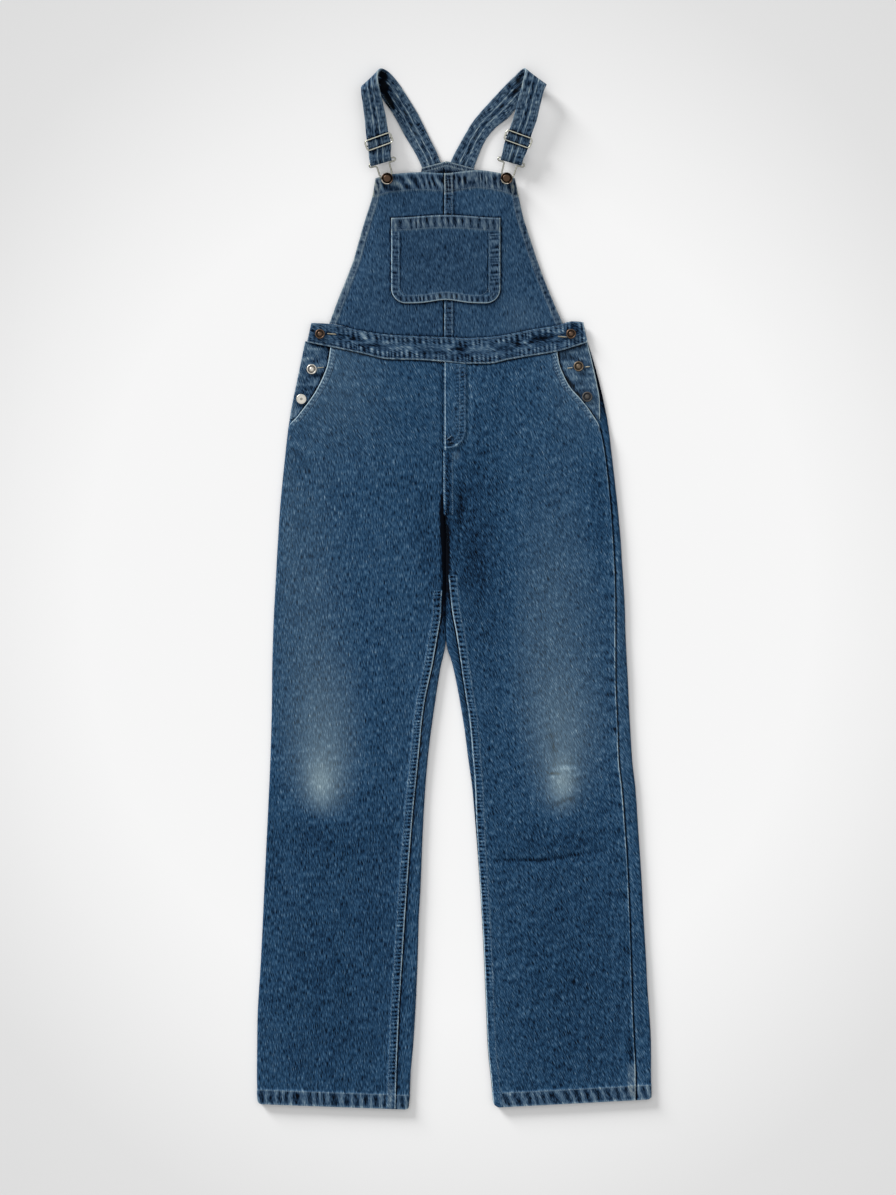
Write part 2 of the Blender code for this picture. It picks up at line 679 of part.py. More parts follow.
def yoke_top(x):
    """The yoke's upper edge: two straight slopes from the point to the shoulders."""
    half = (YOKE_RIGHT - YOKE_LEFT) / 2
    away = np.clip(np.abs(x - yoke_peak_x()) / half, 0, 1)
    return YOKE_PEAK - (YOKE_PEAK - YOKE_SHOULDER) * away


def yoke_facing():
    """The facing that covers the straps' ends on the inside of the back."""
    flat_panel(
        "yoke_facing",
        lambda level: (YOKE_LEFT - 2 * (1 - level), YOKE_RIGHT + 2 * (1 - level)),
        np.linspace(0, 1, 4),
        lambda x, level: YOKE_LOWER + (yoke_top(x) - YOKE_LOWER) * level,
        lambda x, y: np.full(len(x), YOKE_BASE),
        lambda x, y: np.full(len(x), YOKE),
        yoke_shares(),
    )


def bib_pocket():
    """The patch pocket, made from the bib's face moved out, with round lower corners and a hem at its mouth."""
    height = POCKET_TOP - POCKET_LOWER
    angles = np.linspace(0, math.pi / 2, 6)
    round_levels = POCKET_CORNER * (1 - np.cos(angles)) / height
    hem = 1 - POCKET_HEM / height
    levels = np.concatenate([round_levels, np.linspace(round_levels[-1], hem - 0.012, 5)[1:], [hem, 1]])

    def sides(level):
        up = level * height
        low = max(POCKET_CORNER - up, 0)
        inset = POCKET_CORNER - math.sqrt(POCKET_CORNER**2 - low**2)
        return POCKET_LEFT + inset, POCKET_RIGHT - inset

    def y_at(x, level):
        share = (x - POCKET_LEFT) / (POCKET_RIGHT - POCKET_LEFT)
        bow = np.sin(math.pi * share) ** 2
        low = POCKET_LOWER + POCKET_NOTCH * np.exp(-(((share - 0.5) / 0.16) ** 2))
        return low + (POCKET_TOP + POCKET_RISE * bow - low) * level

    flat_panel(
        "bib_pocket",
        sides,
        levels,
        y_at,
        lambda x, y: bib_base(x, y) + CLOTH + POCKET_BASE,
        lambda x, y: np.full(len(x), CLOTH - 0.1)
        + np.where(y > y_at(x, 1.0) - POCKET_HEM - 0.3, POCKET_RELIEF, 0),
        np.linspace(0, 1, 11),
    )


def fly():
    """The mock fly: a strip down from the waistband beside the centre seam, with a curved foot."""
    foot_levels = FLY_FOOT + (1 - FLY_FOOT) * np.sin(np.linspace(0, math.pi / 2, 6))
    levels = np.concatenate([np.linspace(0, FLY_FOOT, 6), foot_levels[1:]])

    def sides(level):
        foot = max((level - FLY_FOOT) / (1 - FLY_FOOT), 0)
        width = FLY_WIDTH * math.sqrt(max(1 - foot**2, 0.04))
        return CENTRE + 0.9, CENTRE + 0.9 + width

    def y_at(x, level):
        top = column(WAIST, WAIST_COLUMNS, "lower", x) - 0.6
        return top - level * FLY_LENGTH

    def base(x, y):
        z = np.full(len(x), LEG_HEIGHT)
        return z + lift(x, y, z, CENTRE, 230.0) + SEAM_GAP + 0.15

    flat_panel(
        "fly", sides, levels, y_at, base, lambda x, y: np.full(len(x), FLY), np.linspace(0, 1, 6)
    )


def hip_facing(side):
    """The pocket facing under the pocket's edge, which reaches out to the side opening."""
    table = LEGS[side][0]
    under = 12.0
    sign = -1 if side == "left" else 1

    def sides(level):
        edge = float(column(table, LEG_COLUMNS, "outer_seam", level)) - sign * under
        fold = float(column(table, LEG_COLUMNS, "outer", level))
        return tuple(sorted((edge, fold - sign * placket_inset(side, level))))

    def y_at(x, level):
        top = column(WAIST, WAIST_COLUMNS, "lower", x) + 1.5
        near_top = ease((level - 280) / 70)
        return level + near_top * (top - 350)

    flat_panel(
        f"hip_facing_{side}",
        sides,
        np.linspace(350, 241, 8),
        y_at,
        lambda x, y: np.full(len(x), FACING_TOP - FACING),
        lambda x, y: np.full(len(x), FACING),
        np.linspace(0, 1, 6),
    )


# x of the right facing's free edge, from the waistband down
PLACKET_COLUMNS = ("y", "x")
PLACKET = ((350, 188.5), (319, 196.0), (293, 202.0), (267, 206.2), (245, 206.6), (236, 205.0))


def placket_inset(side, level):
    """How far in from the side fold the facing's free edge lies."""
    if side == "left":
        return 0.6
    fold = float(column(RIGHT_LEG, LEG_COLUMNS, "outer", level))
    return fold - float(column(PLACKET, PLACKET_COLUMNS, "x", level))


# Straps


def strap_rows(side):
    """Every section of a strap, from its free end behind the slider to the yoke."""
    front, sign, slip, place, lean, _ = STRAPS[side]
    turn = math.radians(lean)
    up = np.array([-math.sin(turn), math.cos(turn)])
    along_bar = np.array([math.cos(turn), math.sin(turn)])
    across = along_bar * -sign
    bar = np.array(place) + up * BUCKLE_REACH + along_bar * slip
    loop = STRAP_RETURN / 2
    rows = []
    first = np.array(front[0])
    under_slider = first + (np.array(front[1]) - first) * 0.45
    rows.append(under_slider - np.array([0, 0, STRAP_RETURN - 0.5] * 2))
    for angle in np.radians([180, 150, 120, 90, 60, 30, 0]):
        middle = bar - up * loop * math.sin(angle)
        z = BUCKLE_HEIGHT + loop * math.cos(angle)
        outer, inner = middle - across * STRAP_HALF, middle + across * STRAP_HALF
        rows.append(np.array([*outer, z, *inner, z]))
    rows += [np.array(row) for row in front]
    return np.array(rows)


def strap(side):
    """A strap: a flat band swept through its sections, thick at right angles to its path."""
    rows = strap_rows(side)
    middles = (rows[:, :3] + rows[:, 3:]) / 2
    reach = np.concatenate([[0], np.cumsum(np.linalg.norm(np.diff(middles, axis=0), axis=1))])
    fine = np.concatenate([np.linspace(a, b, 3)[:-1] for a, b in zip(reach[:-1], reach[1:])] + [reach[-1:]])
    smooth = np.stack([natural(reach, rows[:, k], fine) for k in range(6)], 1)
    outer_edge, inner_edge = smooth[:, :3], smooth[:, 3:]
    middle = (outer_edge + inner_edge) / 2
    heading = np.gradient(middle, fine, axis=0)
    across = inner_edge - outer_edge
    normal = np.cross(across, heading) if side == "left" else np.cross(heading, across)
    normal /= np.linalg.norm(normal, axis=1, keepdims=True)
    shares = np.array([0.0, 0.5, 1.0])[None, :, None]
    band = outer_edge[:, None] + across[:, None] * shares
    shift = normal[:, None] * STRAP / 2
    wall(f"strap_{side}", band + shift, band - shift, DENIM_LIGHT)


def natural(knots, values, at):
    """A curve through the rows with continuous slope, each row's slope taken from its two neighbours."""
    slope = np.gradient(values, knots)
    i = np.clip(np.searchsorted(knots, at, side="right") - 1, 0, len(knots) - 2)
    h = knots[i + 1] - knots[i]
    t = (at - knots[i]) / h
    start = values[i] * (1 + 2 * t) * (1 - t) ** 2 + slope[i] * h * t * (1 - t) ** 2
    end = values[i + 1] * t**2 * (3 - 2 * t) + slope[i + 1] * h * t**2 * (t - 1)
    return start + end


# Metal parts


def wire_curve(name, points, cyclic):
    """A round wire along a path, as a curve with filled ends."""
    curve = bpy.data.curves.new(name, "CURVE")
    curve.dimensions = "3D"
    curve.bevel_depth = WIRE / 2 * MM
    curve.bevel_resolution = 2
    curve.use_fill_caps = not cyclic
    spline = curve.splines.new("POLY")
    spline.points.add(len(points) - 1)
    for point, place in zip(spline.points, points):
        point.co = (*(np.asarray(place) * MM), 1)
    spline.use_cyclic_u = cyclic
    obj = bpy.data.objects.new(name, curve)
    bpy.context.scene.collection.objects.link(obj)
    return obj


def as_mesh(obj):
    """Turns a curve object into a mesh object of the same name, its doubled points merged."""
    name = obj.name
    graph = bpy.context.evaluated_depsgraph_get()
    mesh = bpy.data.meshes.new_from_object(obj.evaluated_get(graph))
    bpy.data.objects.remove(obj)
    bm = bmesh.new()
    bm.from_mesh(mesh)
    bmesh.ops.remove_doubles(bm, verts=bm.verts[:], dist=1e-6)
    bmesh.ops.recalc_face_normals(bm, faces=bm.faces[:])
    bpy.data.meshes.remove(mesh)
    return solid_from(name, bm, NICKEL)


def placed(points, origin, lean, height):
    """Points of a flat outline, turned by lean degrees about the origin and set at a height."""
    turn = math.radians(lean)
    x, y, z = np.asarray(points, float).T
    return np.stack(
        [
            origin[0] + x * math.cos(turn) - y * math.sin(turn),
            origin[1] + x * math.sin(turn) + y * math.cos(turn),
            height + z,
        ],
        1,
    )


def arc(cx, cy, r, start, stop, count):
    """Points on a circle from one angle to another, in degrees."""
    angles = np.radians(np.linspace(start, stop, count))
    return [(cx + r * math.cos(a), cy + r * math.sin(a), 0.0) for a in angles]


def buckle(side):
    """The wire buckle: a bar for the strap, two eared shoulders, a neck and the eye round the button."""
    _, _, _, place, lean, _ = STRAPS[side]
    bar, (ear, radius), neck = BUCKLE_REACH, BUCKLE_EAR, BUCKLE_NECK
    shoulder = bar - 2 * radius
    eye = BIB_BUTTON[0] * SHANK_SHARE + WIRE / 2 + SEAM_GAP
    right = [(neck, 6.0, 0.0), (neck, shoulder - 2.4, 0.0), (neck + 0.8, shoulder - 0.8, 0.0)]
    right += [(neck + 2.6, shoulder, 0.0)] + arc(ear, bar - radius, radius, -90, 90, 6)
    left = [(-x, y, z) for x, y, z in reversed(right)]
    foot = arc(0, 0, eye, 190, 350, 9)
    as_mesh(wire_curve(f"buckle_{side}", placed(right + left + foot, place, lean, BUCKLE_HEIGHT), True))


def slider(side):
    """The slider: a wire frame over the strap with a middle bar that dips under it."""
    front, lean = STRAPS[side][0], STRAPS[side][-1]
    rows = np.array(front[:2], float)
    middle = (rows[:, :3] + rows[:, 3:]).mean(axis=0) / 2
    half_x, half_y = (s / 2 - WIRE / 2 for s in SLIDER_SIZE)
    corner_x, corner_y = half_x - SLIDER_CORNER, half_y - SLIDER_CORNER
    frame = []
    for sx, sy, start in ((1, 1, 0), (-1, 1, 90), (-1, -1, 180), (1, -1, 270)):
        frame += arc(sx * corner_x, sy * corner_y, SLIDER_CORNER, start, start + 90, 5)
    above = STRAP / 2 + SEAM_GAP + WIRE / 2
    level = float(rows[:, 2].mean())
    body = as_mesh(wire_curve(f"slider_{side}", placed(frame, middle, lean, level + above), True))
    dip = -2 * above
    bar = [(-half_x, 0, 0), (-half_x, 0, dip + 1.2), (-half_x + 1.2, 0, dip)]
    bar += [(-x, y, z) for x, y, z in reversed(bar)]
    helper = as_mesh(wire_curve(f"slider_bar_{side}", placed(bar, middle, lean, level + above), False))
    union = body.modifiers.new("join_bar", "BOOLEAN")
    union.operation = "UNION"
    union.object = helper
    helper.hide_render = True
    helper.display_type = "WIRE"


def button(name, place, base, radius, cap_height, shank, finish, steps=14):
    """A turned button: a shank on the cloth and a rimmed cap with a low dome."""
    rim = radius - 0.9
    top = shank + cap_height
    profile = [
        (0.0, 0.0),
        (radius * SHANK_SHARE, 0.0),
        (radius * SHANK_SHARE, shank),
        (radius - 0.3, shank),
        (radius, shank + 0.6),
        (radius - 0.35, top - 0.2),
        (rim, top),
        (rim - 0.9, top - 0.55),
        (radius * 0.3, top - 0.1),
        (0.0, top),
    ]
    bm = bmesh.new()
    verts = [bm.verts.new(Vector((r, 0, z)) * MM) for r, z in profile]
    edges = [bm.edges.new(pair) for pair in zip(verts, verts[1:])]
    bmesh.ops.spin(
        bm,
        geom=verts + edges,
        angle=2 * math.pi,
        steps=steps,
        axis=(0, 0, 1),
        cent=(0, 0, 0),
        use_merge=True,
    )
    bmesh.ops.remove_doubles(bm, verts=bm.verts[:], dist=1e-6)
    bmesh.ops.recalc_face_normals(bm, faces=bm.faces[:])
    bmesh.ops.transform(bm, matrix=Matrix.Translation(Vector((*place, base)) * MM), verts=bm.verts[:])
    solid_from(name, bm, finish)




def buttons():
    """The bib's two shank buttons, one at each end of the waistband and two in each side opening."""
    for side in ("left", "right"):
        radius, cap, shank = BIB_BUTTON
        base = BIB_TOP_BASE + CLOTH + 0.8 + SEAM_GAP
        button(f"button_bib_{side}", STRAPS[side][3], base, radius, cap, shank, COPPER, steps=18)
        radius, cap, shank = WAIST_BUTTON
        base = FRONT_LAYER + WAISTBAND + SEAM_GAP + 0.12
        button(f"button_waist_{side}", WAIST_BUTTONS[side], base, radius, cap, shank, COPPER)
        radius, cap, shank = HIP_BUTTON
        finish = SILVER if side == "left" else COPPER
        for row, place in HIP_BUTTONS[side].items():
            button(f"button_hip_{row}_{side}", place, FACING_TOP + SEAM_GAP, radius, cap, shank, finish)


def main():
    for obj in list(bpy.data.objects):
        bpy.data.objects.remove(obj)
    for side in ("left", "right"):
        leg_panel(side, front=True)
        leg_panel(side, front=False)
        hip_facing(side)
        bib_half(side)
        strap(side)
        slider(side)
        buckle(side)
    waistband(front=True)
    waistband(front=False)
    back_bib()
    yoke_facing()
    bib_pocket()
    fly()
    buttons()


main()
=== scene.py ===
# %% [markdown]
# # Denim dungarees, laid flat on their back
# The garment is a stack of thin cloth walls: trousers at the bottom, a waistband, a bib with one patch
# pocket and two straps that fold over at the shoulders. Each wall is made as two grids of points, an
# outer face and an inner face, joined by a rim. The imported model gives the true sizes, so it is loaded
# first and stays as it is.

import math

import bpy
import numpy as np
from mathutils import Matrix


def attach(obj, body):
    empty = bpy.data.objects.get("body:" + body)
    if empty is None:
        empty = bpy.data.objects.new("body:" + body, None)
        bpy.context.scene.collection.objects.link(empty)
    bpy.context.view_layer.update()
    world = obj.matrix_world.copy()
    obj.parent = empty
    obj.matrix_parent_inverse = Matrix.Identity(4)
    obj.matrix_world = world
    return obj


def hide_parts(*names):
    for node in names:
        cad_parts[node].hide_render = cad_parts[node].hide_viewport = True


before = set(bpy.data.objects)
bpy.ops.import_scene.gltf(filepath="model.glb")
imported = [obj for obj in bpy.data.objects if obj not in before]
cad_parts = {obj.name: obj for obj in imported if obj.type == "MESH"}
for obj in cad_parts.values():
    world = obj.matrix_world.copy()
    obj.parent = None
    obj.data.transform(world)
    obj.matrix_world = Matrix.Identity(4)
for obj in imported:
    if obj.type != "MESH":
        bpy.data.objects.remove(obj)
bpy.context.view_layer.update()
MM = 0.001

# %% [markdown]
# ## Curves and smooth noise
# Edges and seams are given by short tables in millimetres. Joined by straight lines they would show a kink
# at each row, so a cubic that never overshoots is used. Cloth is never even, so a repeatable smooth noise
# supplies the small differences: numbers on a lattice, blended between the whole numbers.

# %% Curves through tables


def cubic(knots, values, slopes, at):
    """Cubic pieces through the values at the knots, with these slopes there."""
    i = np.clip(np.searchsorted(knots, at) - 1, 0, len(knots) - 2)
    step = knots[i + 1] - knots[i]
    t = (at - knots[i]) / step
    start = values[i] * (1 + 2 * t) * (1 - t) ** 2 + slopes[i] * step * t * (1 - t) ** 2
    end = values[i + 1] * t**2 * (3 - 2 * t) + slopes[i + 1] * step * t**2 * (t - 1)
    return start + end


def through(knots, values, at):
    """The curve through a table's rows: cubics whose slope at a row is the harmonic mean of its sides."""
    order = np.argsort(knots)
    knots = np.asarray(knots, float)[order]
    values = np.asarray(values, float)[order]
    slope = np.diff(values) / np.diff(knots)
    product = slope[:-1] * slope[1:]
    total = slope[:-1] + slope[1:]
    level = np.abs(total) < 1e-9
    middle = np.where((product > 0) & ~level, 2 * product / np.where(level, 1, total), 0)
    tangent = np.concatenate([slope[:1], middle, slope[-1:]])
    return cubic(knots, values, tangent, np.clip(at, knots[0], knots[-1]))


def column(table, number, at):
    """A table's column as a smooth curve over its first column."""
    rows = np.asarray(table, float)
    return through(rows[:, 0], rows[:, number], at)


def held(t):
    """A value held between 0 and 1."""
    return np.clip(t, 0, 1)


def ease(t):
    """0 below 0, 1 above 1, and three t squared less two t cubed between."""
    t = held(t)
    return t * t * (3 - 2 * t)


def hump(t, power=1):
    """0 at 0 and at 1, and 1 halfway: the sine of half a turn, raised to a power."""
    return np.sin(math.pi * held(t)) ** power


def line(distance, centre, half_width):
    """1 on a line and fading beside it, as a bell curve."""
    return np.exp(-(((distance - centre) / half_width) ** 2))


def spaced(*stops, before=()):
    """Places from the first stop to the last, after those before. A stop is a place and its next step."""
    runs = [
        np.linspace(a, b, max(round(abs(b - a) / step), 1), endpoint=False)
        for (a, step), (b, _) in zip(stops, stops[1:])
    ]
    return np.concatenate([before, *runs, [stops[-1][0]]])


def walked(path):
    """The distance walked along a path to each of its points."""
    return np.concatenate([[0], np.cumsum(np.linalg.norm(np.diff(path, axis=0), axis=1))])


def across(start, near_start, end, near_end, count):
    """Places from start to end in each row: at set distances near both, and count more between them."""
    toward = np.sign(end - start)
    one, other = start + toward * near_start, end - toward * near_end[::-1]
    share = np.linspace(0, 1, count + 2)[1:-1]
    return np.concatenate([one, one[:, -1:] * (1 - share) + other[:, :1] * share, other], 1)


# %% Smooth noise


def lattice(i, j, seed):
    """A repeatable number from 0 to 1 for each pair of whole numbers: the fraction of a large sine."""
    return np.abs(np.sin(i * 127.1 + j * 311.7 + seed * 74.7) * 43758.5453) % 1


def cloud(x, y=0.0, seed=0):
    """Smooth noise from -1 to 1: the lattice's four corners round a place, blended with ease."""
    x, y = np.broadcast_arrays(np.asarray(x, float), np.asarray(y, float))
    i, j = np.floor(x), np.floor(y)
    u, v = ease(x - i), ease(y - j)
    low = lattice(i, j, seed) * (1 - u) + lattice(i + 1, j, seed) * u
    high = lattice(i, j + 1, seed) * (1 - u) + lattice(i + 1, j + 1, seed) * u
    return 2 * (low * (1 - v) + high * v) - 1


def stacked(*parts):
    """Arrays whose shapes fit together, as the parts of each point or pair of a grid."""
    return np.stack(np.broadcast_arrays(*parts), 2)


def roping(run, share, spacing, lean, seed, uneven=0.5):
    """The ridges across a stitched band, 1 on a ridge and -1 in a hollow.

    A cosine of the place along the band. The lean moves it by the share across the band, and noise makes the
    spacing and the height uneven.
    """
    place = run / spacing + lean * share + uneven * cloud(run / (1.9 * spacing), 0.0, seed)
    height = 0.72 + 0.28 * cloud(run / (1.3 * spacing) + 57.0, 2.0 * share, seed)
    return np.cos(2 * math.pi * place) * height


def pulled(run, beyond, spacing, reach, seed):
    """The weak ridges that a row of stitches pulls into the cloth beyond it, fading over the reach."""
    beyond = np.clip(beyond, 0, None)
    return roping(run, 0.0, spacing, 0.0, seed) * np.exp(-beyond / reach) * (beyond > 0)


print("noise:", np.round(cloud(np.linspace(0, 3, 7), 0, 1), 2))

# %% [markdown]
# ## From grids to cloth
# Cloth has a thickness, and its edges are folded and soft. One face with Solidify would do, but then the
# hems could not be thicker than the panels. So each piece has its own outer and inner grid, and five
# numbers at each point that the material reads: one where the indigo is rubbed off and where a highlight is
# painted beside a crease, shade where it never was and painted shade in gaps, creases and under things, one
# for the broad fades and for the painted shadows at the fork and the hip, grey on sewn bands, and pale for
# the wrong side of the cloth. A UV map in metres carries the weave.

# %% Build a closed wall


class Marks:
    """Sewing, rubbing and painted light and shade: bend in mm, and the material's numbers for rubbing and
    highlights, shade, fades and painted shadows, and grey.
    """

    def __init__(self, shape):
        self.bend, self.wear, self.shade, self.fade, self.grey = (np.zeros(shape) for _ in range(5))

    def add(self, **parts):
        for title, values in parts.items():
            setattr(self, title, getattr(self, title) + values)


def normals_of(grid, centre=None):
    """Unit normals of a grid: the cross product of its two directions, turned away from centre or upwards."""
    down, along = np.gradient(grid, axis=0), np.gradient(grid, axis=1)
    normal = np.cross(along, down)
    normal /= np.maximum(np.linalg.norm(normal, axis=2, keepdims=True), 1e-9)
    away = (normal[..., 2] if centre is None else ((grid - centre) * normal).sum(2)).mean()
    return normal if away > 0 else -normal


def area_of(grid):
    """The area of a grid in square metres: half the cross product of each cell's diagonals."""
    one, other = grid[1:, 1:] - grid[:-1, :-1], grid[1:, :-1] - grid[:-1, 1:]
    return float(np.linalg.norm(np.cross(one, other), axis=2).sum() / 2) * MM * MM


def in_scene(name, data):
    """A new object that holds the data, linked to the scene."""
    made = bpy.data.objects.new(name, data)
    bpy.context.scene.collection.objects.link(made)
    return made


def mesh_object(name, points, faces, finish, stands_for=()):
    """A smooth-shaded object from points in mm. It rides on the garment and may stand for model nodes."""
    mesh = bpy.data.meshes.new(name)
    mesh.from_pydata((points * MM).tolist(), [], faces)
    mesh.shade_smooth()
    mesh.set_sharp_from_angle(angle=math.radians(55))
    mesh.materials.append(finish)
    piece = in_scene(name, mesh)
    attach(piece, "root")
    if stands_for:
        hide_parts(*stands_for)
    return piece


def write_value(piece, name, values):
    """One number at each vertex, as an attribute that materials can read."""
    layer = piece.data.attributes.new(name, "FLOAT", "POINT")
    layer.data.foreach_set("value", np.asarray(values, np.float32).ravel())


SURFACES = {}  # each cloth piece's outer grid and its normals, for its stitches
pieces = {}


def shell(name, outer, inner, uv, marks, finish, pale=1.0, slot_name="denim", stands_for=(), normals=None):
    """A closed wall of cloth: the outer grid, the inner grid turned over, and the rim between them.

    Where pale is 0 both faces show the cloth's right side, and both get the marks. Otherwise the inner edge
    gets full painted shade, because a gap between two pieces of cloth lies in shadow.
    """
    rows, columns = outer.shape[:2]
    count = rows * columns
    index = np.arange(count).reshape(rows, columns)
    cells = stacked(index[:-1, :-1], index[:-1, 1:], index[1:, 1:], index[1:, :-1]).reshape(-1, 4)
    loop = np.concatenate([index[0, :-1], index[:-1, -1], index[-1, :0:-1], index[:0:-1, 0]])
    after = np.roll(loop, -1)
    rim = np.stack([after, loop, loop + count, after + count], 1)
    faces = np.concatenate([cells, cells[:, ::-1] + count, rim])
    points = np.concatenate([outer.reshape(-1, 3), inner.reshape(-1, 3)])
    corner = points[faces] - points.mean(0)
    volume = (corner[:, 0] * np.cross(corner[:, 1], corner[:, 2])).sum()
    faces = faces if volume > 0 else faces[:, ::-1]
    piece = mesh_object(name, points, faces.tolist(), finish, stands_for)
    both = np.concatenate([uv.reshape(-1, 2)] * 2) * MM
    layer = piece.data.uv_layers.new(name="cloth")
    layer.uv.foreach_set("vector", both[faces.ravel()].astype(np.float32).ravel())
    inside = 1.0 if pale == 0 else 0.0
    for title in ("wear", "shade", "fade", "grey"):
        values = getattr(marks, title).ravel()
        both = np.concatenate([values, values * inside])
        # the rim's inner edge gets full painted shade
        both[loop + count] = 1.0 if title == "shade" and not inside else both[loop + count]
        write_value(piece, title, both)
    white = np.repeat([0.0, pale], count)
    white[loop + count] = 0.0
    write_value(piece, "pale", white)
    SURFACES[name] = (outer, normals_of(outer) if normals is None else normals)
    pieces[name] = piece
    print(f"{name}: {2 * len(faces)} triangles, {area_of(outer):.3f} square metres")


def laid(name, x, y, high, low, marks, node, finish, pale=1.0, uv=None):
    """A wall over a grid of x and y, between two heights. The weave follows x and y, or the given uv."""
    uv = stacked(x, y) if uv is None else uv
    shell(name, stacked(x, y, high), stacked(x, y, low), uv, marks, finish, pale, stands_for=(node,))


# %% [markdown]
# ## Denim
# Denim is a twill: blue warp threads pass over the white weft in diagonal lines. From a step away the
# lines blur, and what shows is the uneven thickness of the yarns, as short streaks, and how washing has
# faded them. A function adds each one's nodes, because cloth and straps share them with their own values.
# Patterns read the UV map in metres, so that they follow the cloth round a fold.

# %% Colour and node helpers


def linear(red, green, blue):
    """A display colour from 0 to 255 as the linear colour that Blender's sockets take."""
    share = np.array([red, green, blue]) / 255
    return (*np.where(share <= 0.04045, share / 12.92, ((share + 0.055) / 1.055) ** 2.4), 1.0)


class Nodes:
    """A short way to add and link nodes in one tree."""

    def __init__(self, tree):
        self.tree = tree
        tree.nodes.clear()

    def add(self, kind, links=(), **settings):
        """A node with its settings, and its inputs given as sockets to link or values to set."""
        node = self.tree.nodes.new("ShaderNode" + kind)
        for name, value in settings.items():
            setattr(node, name, value)
        for name, value in dict(links).items():
            if isinstance(value, bpy.types.NodeSocket):
                self.tree.links.new(value, node.inputs[name])
            else:
                node.inputs[name].default_value = value
        return node

    def math(self, operation, one, other=0.0):
        """The result of a Math node."""
        return self.add("Math", {0: one, 1: other}, operation=operation).outputs[0]

    def plus(self, total, value, factor):
        """A total plus a value times a factor."""
        return self.math("ADD", total, self.math("MULTIPLY", value, factor))

    def blend(self, factor, one, other):
        """Two colours mixed by a factor, 0 for the first and 1 for the other."""
        return self.add("Mix", {0: factor, 6: one, 7: other}, data_type="RGBA").outputs[2]

    def noise(self, vector, detail, roughness=0.6, scale=1.0):
        """Soft noise from 0 to 1."""
        links = {"Vector": vector, "Scale": scale, "Detail": detail, "Roughness": roughness}
        return self.add("TexNoise", links).outputs["Fac"]

    def read(self, title):
        """An attribute's number."""
        return self.add("Attribute", attribute_name=title).outputs["Fac"]

    def bump(self, height, strength, distance):
        """A normal tilted by the slope of a height."""
        return self.add("Bump", {"Height": height, "Strength": strength, "Distance": distance}).outputs[0]

    def cover(self, colour, **inputs):
        """The surface's shader. An input's name is written with underscores for its spaces."""
        links = {title.replace("_", " "): value for title, value in inputs.items()}
        shader = self.add("BsdfPrincipled", {"Base Color": colour, **links})
        self.add("OutputMaterial", {"Surface": shader.outputs[0]})

    def ramp(self, value, stops):
        """A colour ramp read at value, from a list of places and colours."""
        node = self.add("ValToRGB", {0: value})
        points = node.color_ramp.elements
        for _ in range(len(stops) - 2):
            points.new(0.5)
        for point, (place, colour) in zip(points, stops):
            point.position = place
            point.color = colour
        return node.outputs["Color"]


def new_material(name):
    """An empty material and the helper for its nodes."""
    material = bpy.data.materials.new(name)
    material.use_nodes = True
    return material, Nodes(material.node_tree)


def turned_and_stretched(nodes, vector, angle, across, along):
    """A vector turned by angle in degrees, then scaled so that one unit is across by along millimetres."""
    turn = nodes.add("Mapping", {"Vector": vector, "Rotation": (0, 0, math.radians(angle))})
    scale = (1 / (across * MM), 1 / (along * MM), 1.0)
    return nodes.add("Mapping", {"Vector": turn.outputs[0], "Scale": scale}).outputs[0]


# %% The twill and the streaks
TWILL_PITCH = 0.95  # mm between two diagonal lines
TWILL_ANGLE = -62.0  # degrees
# width and length in mm, and share
SLUBS = ((2.6, 26.0, 0.08), (1.5, 14.0, 0.27), (0.9, 8.0, 0.65))


def twill(nodes, cloth):
    """Diagonal lines from a wave, broken by fine noise: 0 in the grooves and 1 on the warp threads."""
    place = turned_and_stretched(nodes, cloth, TWILL_ANGLE, TWILL_PITCH, TWILL_PITCH)
    lines = nodes.add("TexWave", {"Vector": place, "Scale": 0.314, "Distortion": 1.6, "Detail": 1.0})
    yarn = nodes.noise(turned_and_stretched(nodes, cloth, 0.0, 0.7, 1.5), 2.0)
    return nodes.plus(nodes.math("MULTIPLY", lines.outputs["Fac"], 0.45), yarn, 0.55)


def streaks_and_clouds(nodes, cloth, lean):
    """Short streaks along the warp, from stretched noises of three sizes, and slow clouds of dye."""
    turned = nodes.add("Mapping", {"Vector": cloth, "Rotation": (0, 0, math.radians(lean))}).outputs[0]
    total = 0.0
    for wide, high, weight in SLUBS:
        place = turned_and_stretched(nodes, turned, 0.0, wide, high)
        total = nodes.plus(total, nodes.noise(place, 1.5), weight)
    return total, nodes.noise(turned_and_stretched(nodes, cloth, 8.0, 17.0, 42.0), 2.0, 0.55)


print("streaks from", SLUBS[-1][1], "to", SLUBS[0][1], "mm long")

# %% [markdown]
# ## The cloth's material
# A single strength from 0 to 1 says how light the cloth is: how much indigo is gone, less any painted
# shade. It is nearly black where shade is painted in a fold or gap, deep blue where the cloth was never
# rubbed, mid blue on the panels, pale grey-blue where it is worn. One colour ramp turns it into the cloth's
# colour. The pale wrong side has its own colour, because there the white weft lies on top.

# %% Denim material
INDIGO = (
    (0.00, linear(1, 4, 11)),
    (0.20, linear(14, 38, 62)),
    (0.42, linear(34, 66, 96)),
    (0.60, linear(58, 89, 116)),
    (0.80, linear(95, 121, 143)),
    (1.00, linear(150, 171, 183)),
)
WORN = linear(157, 174, 172)
WARM_GREY = linear(118, 118, 104)
WRONG_SIDE = linear(112, 128, 142)


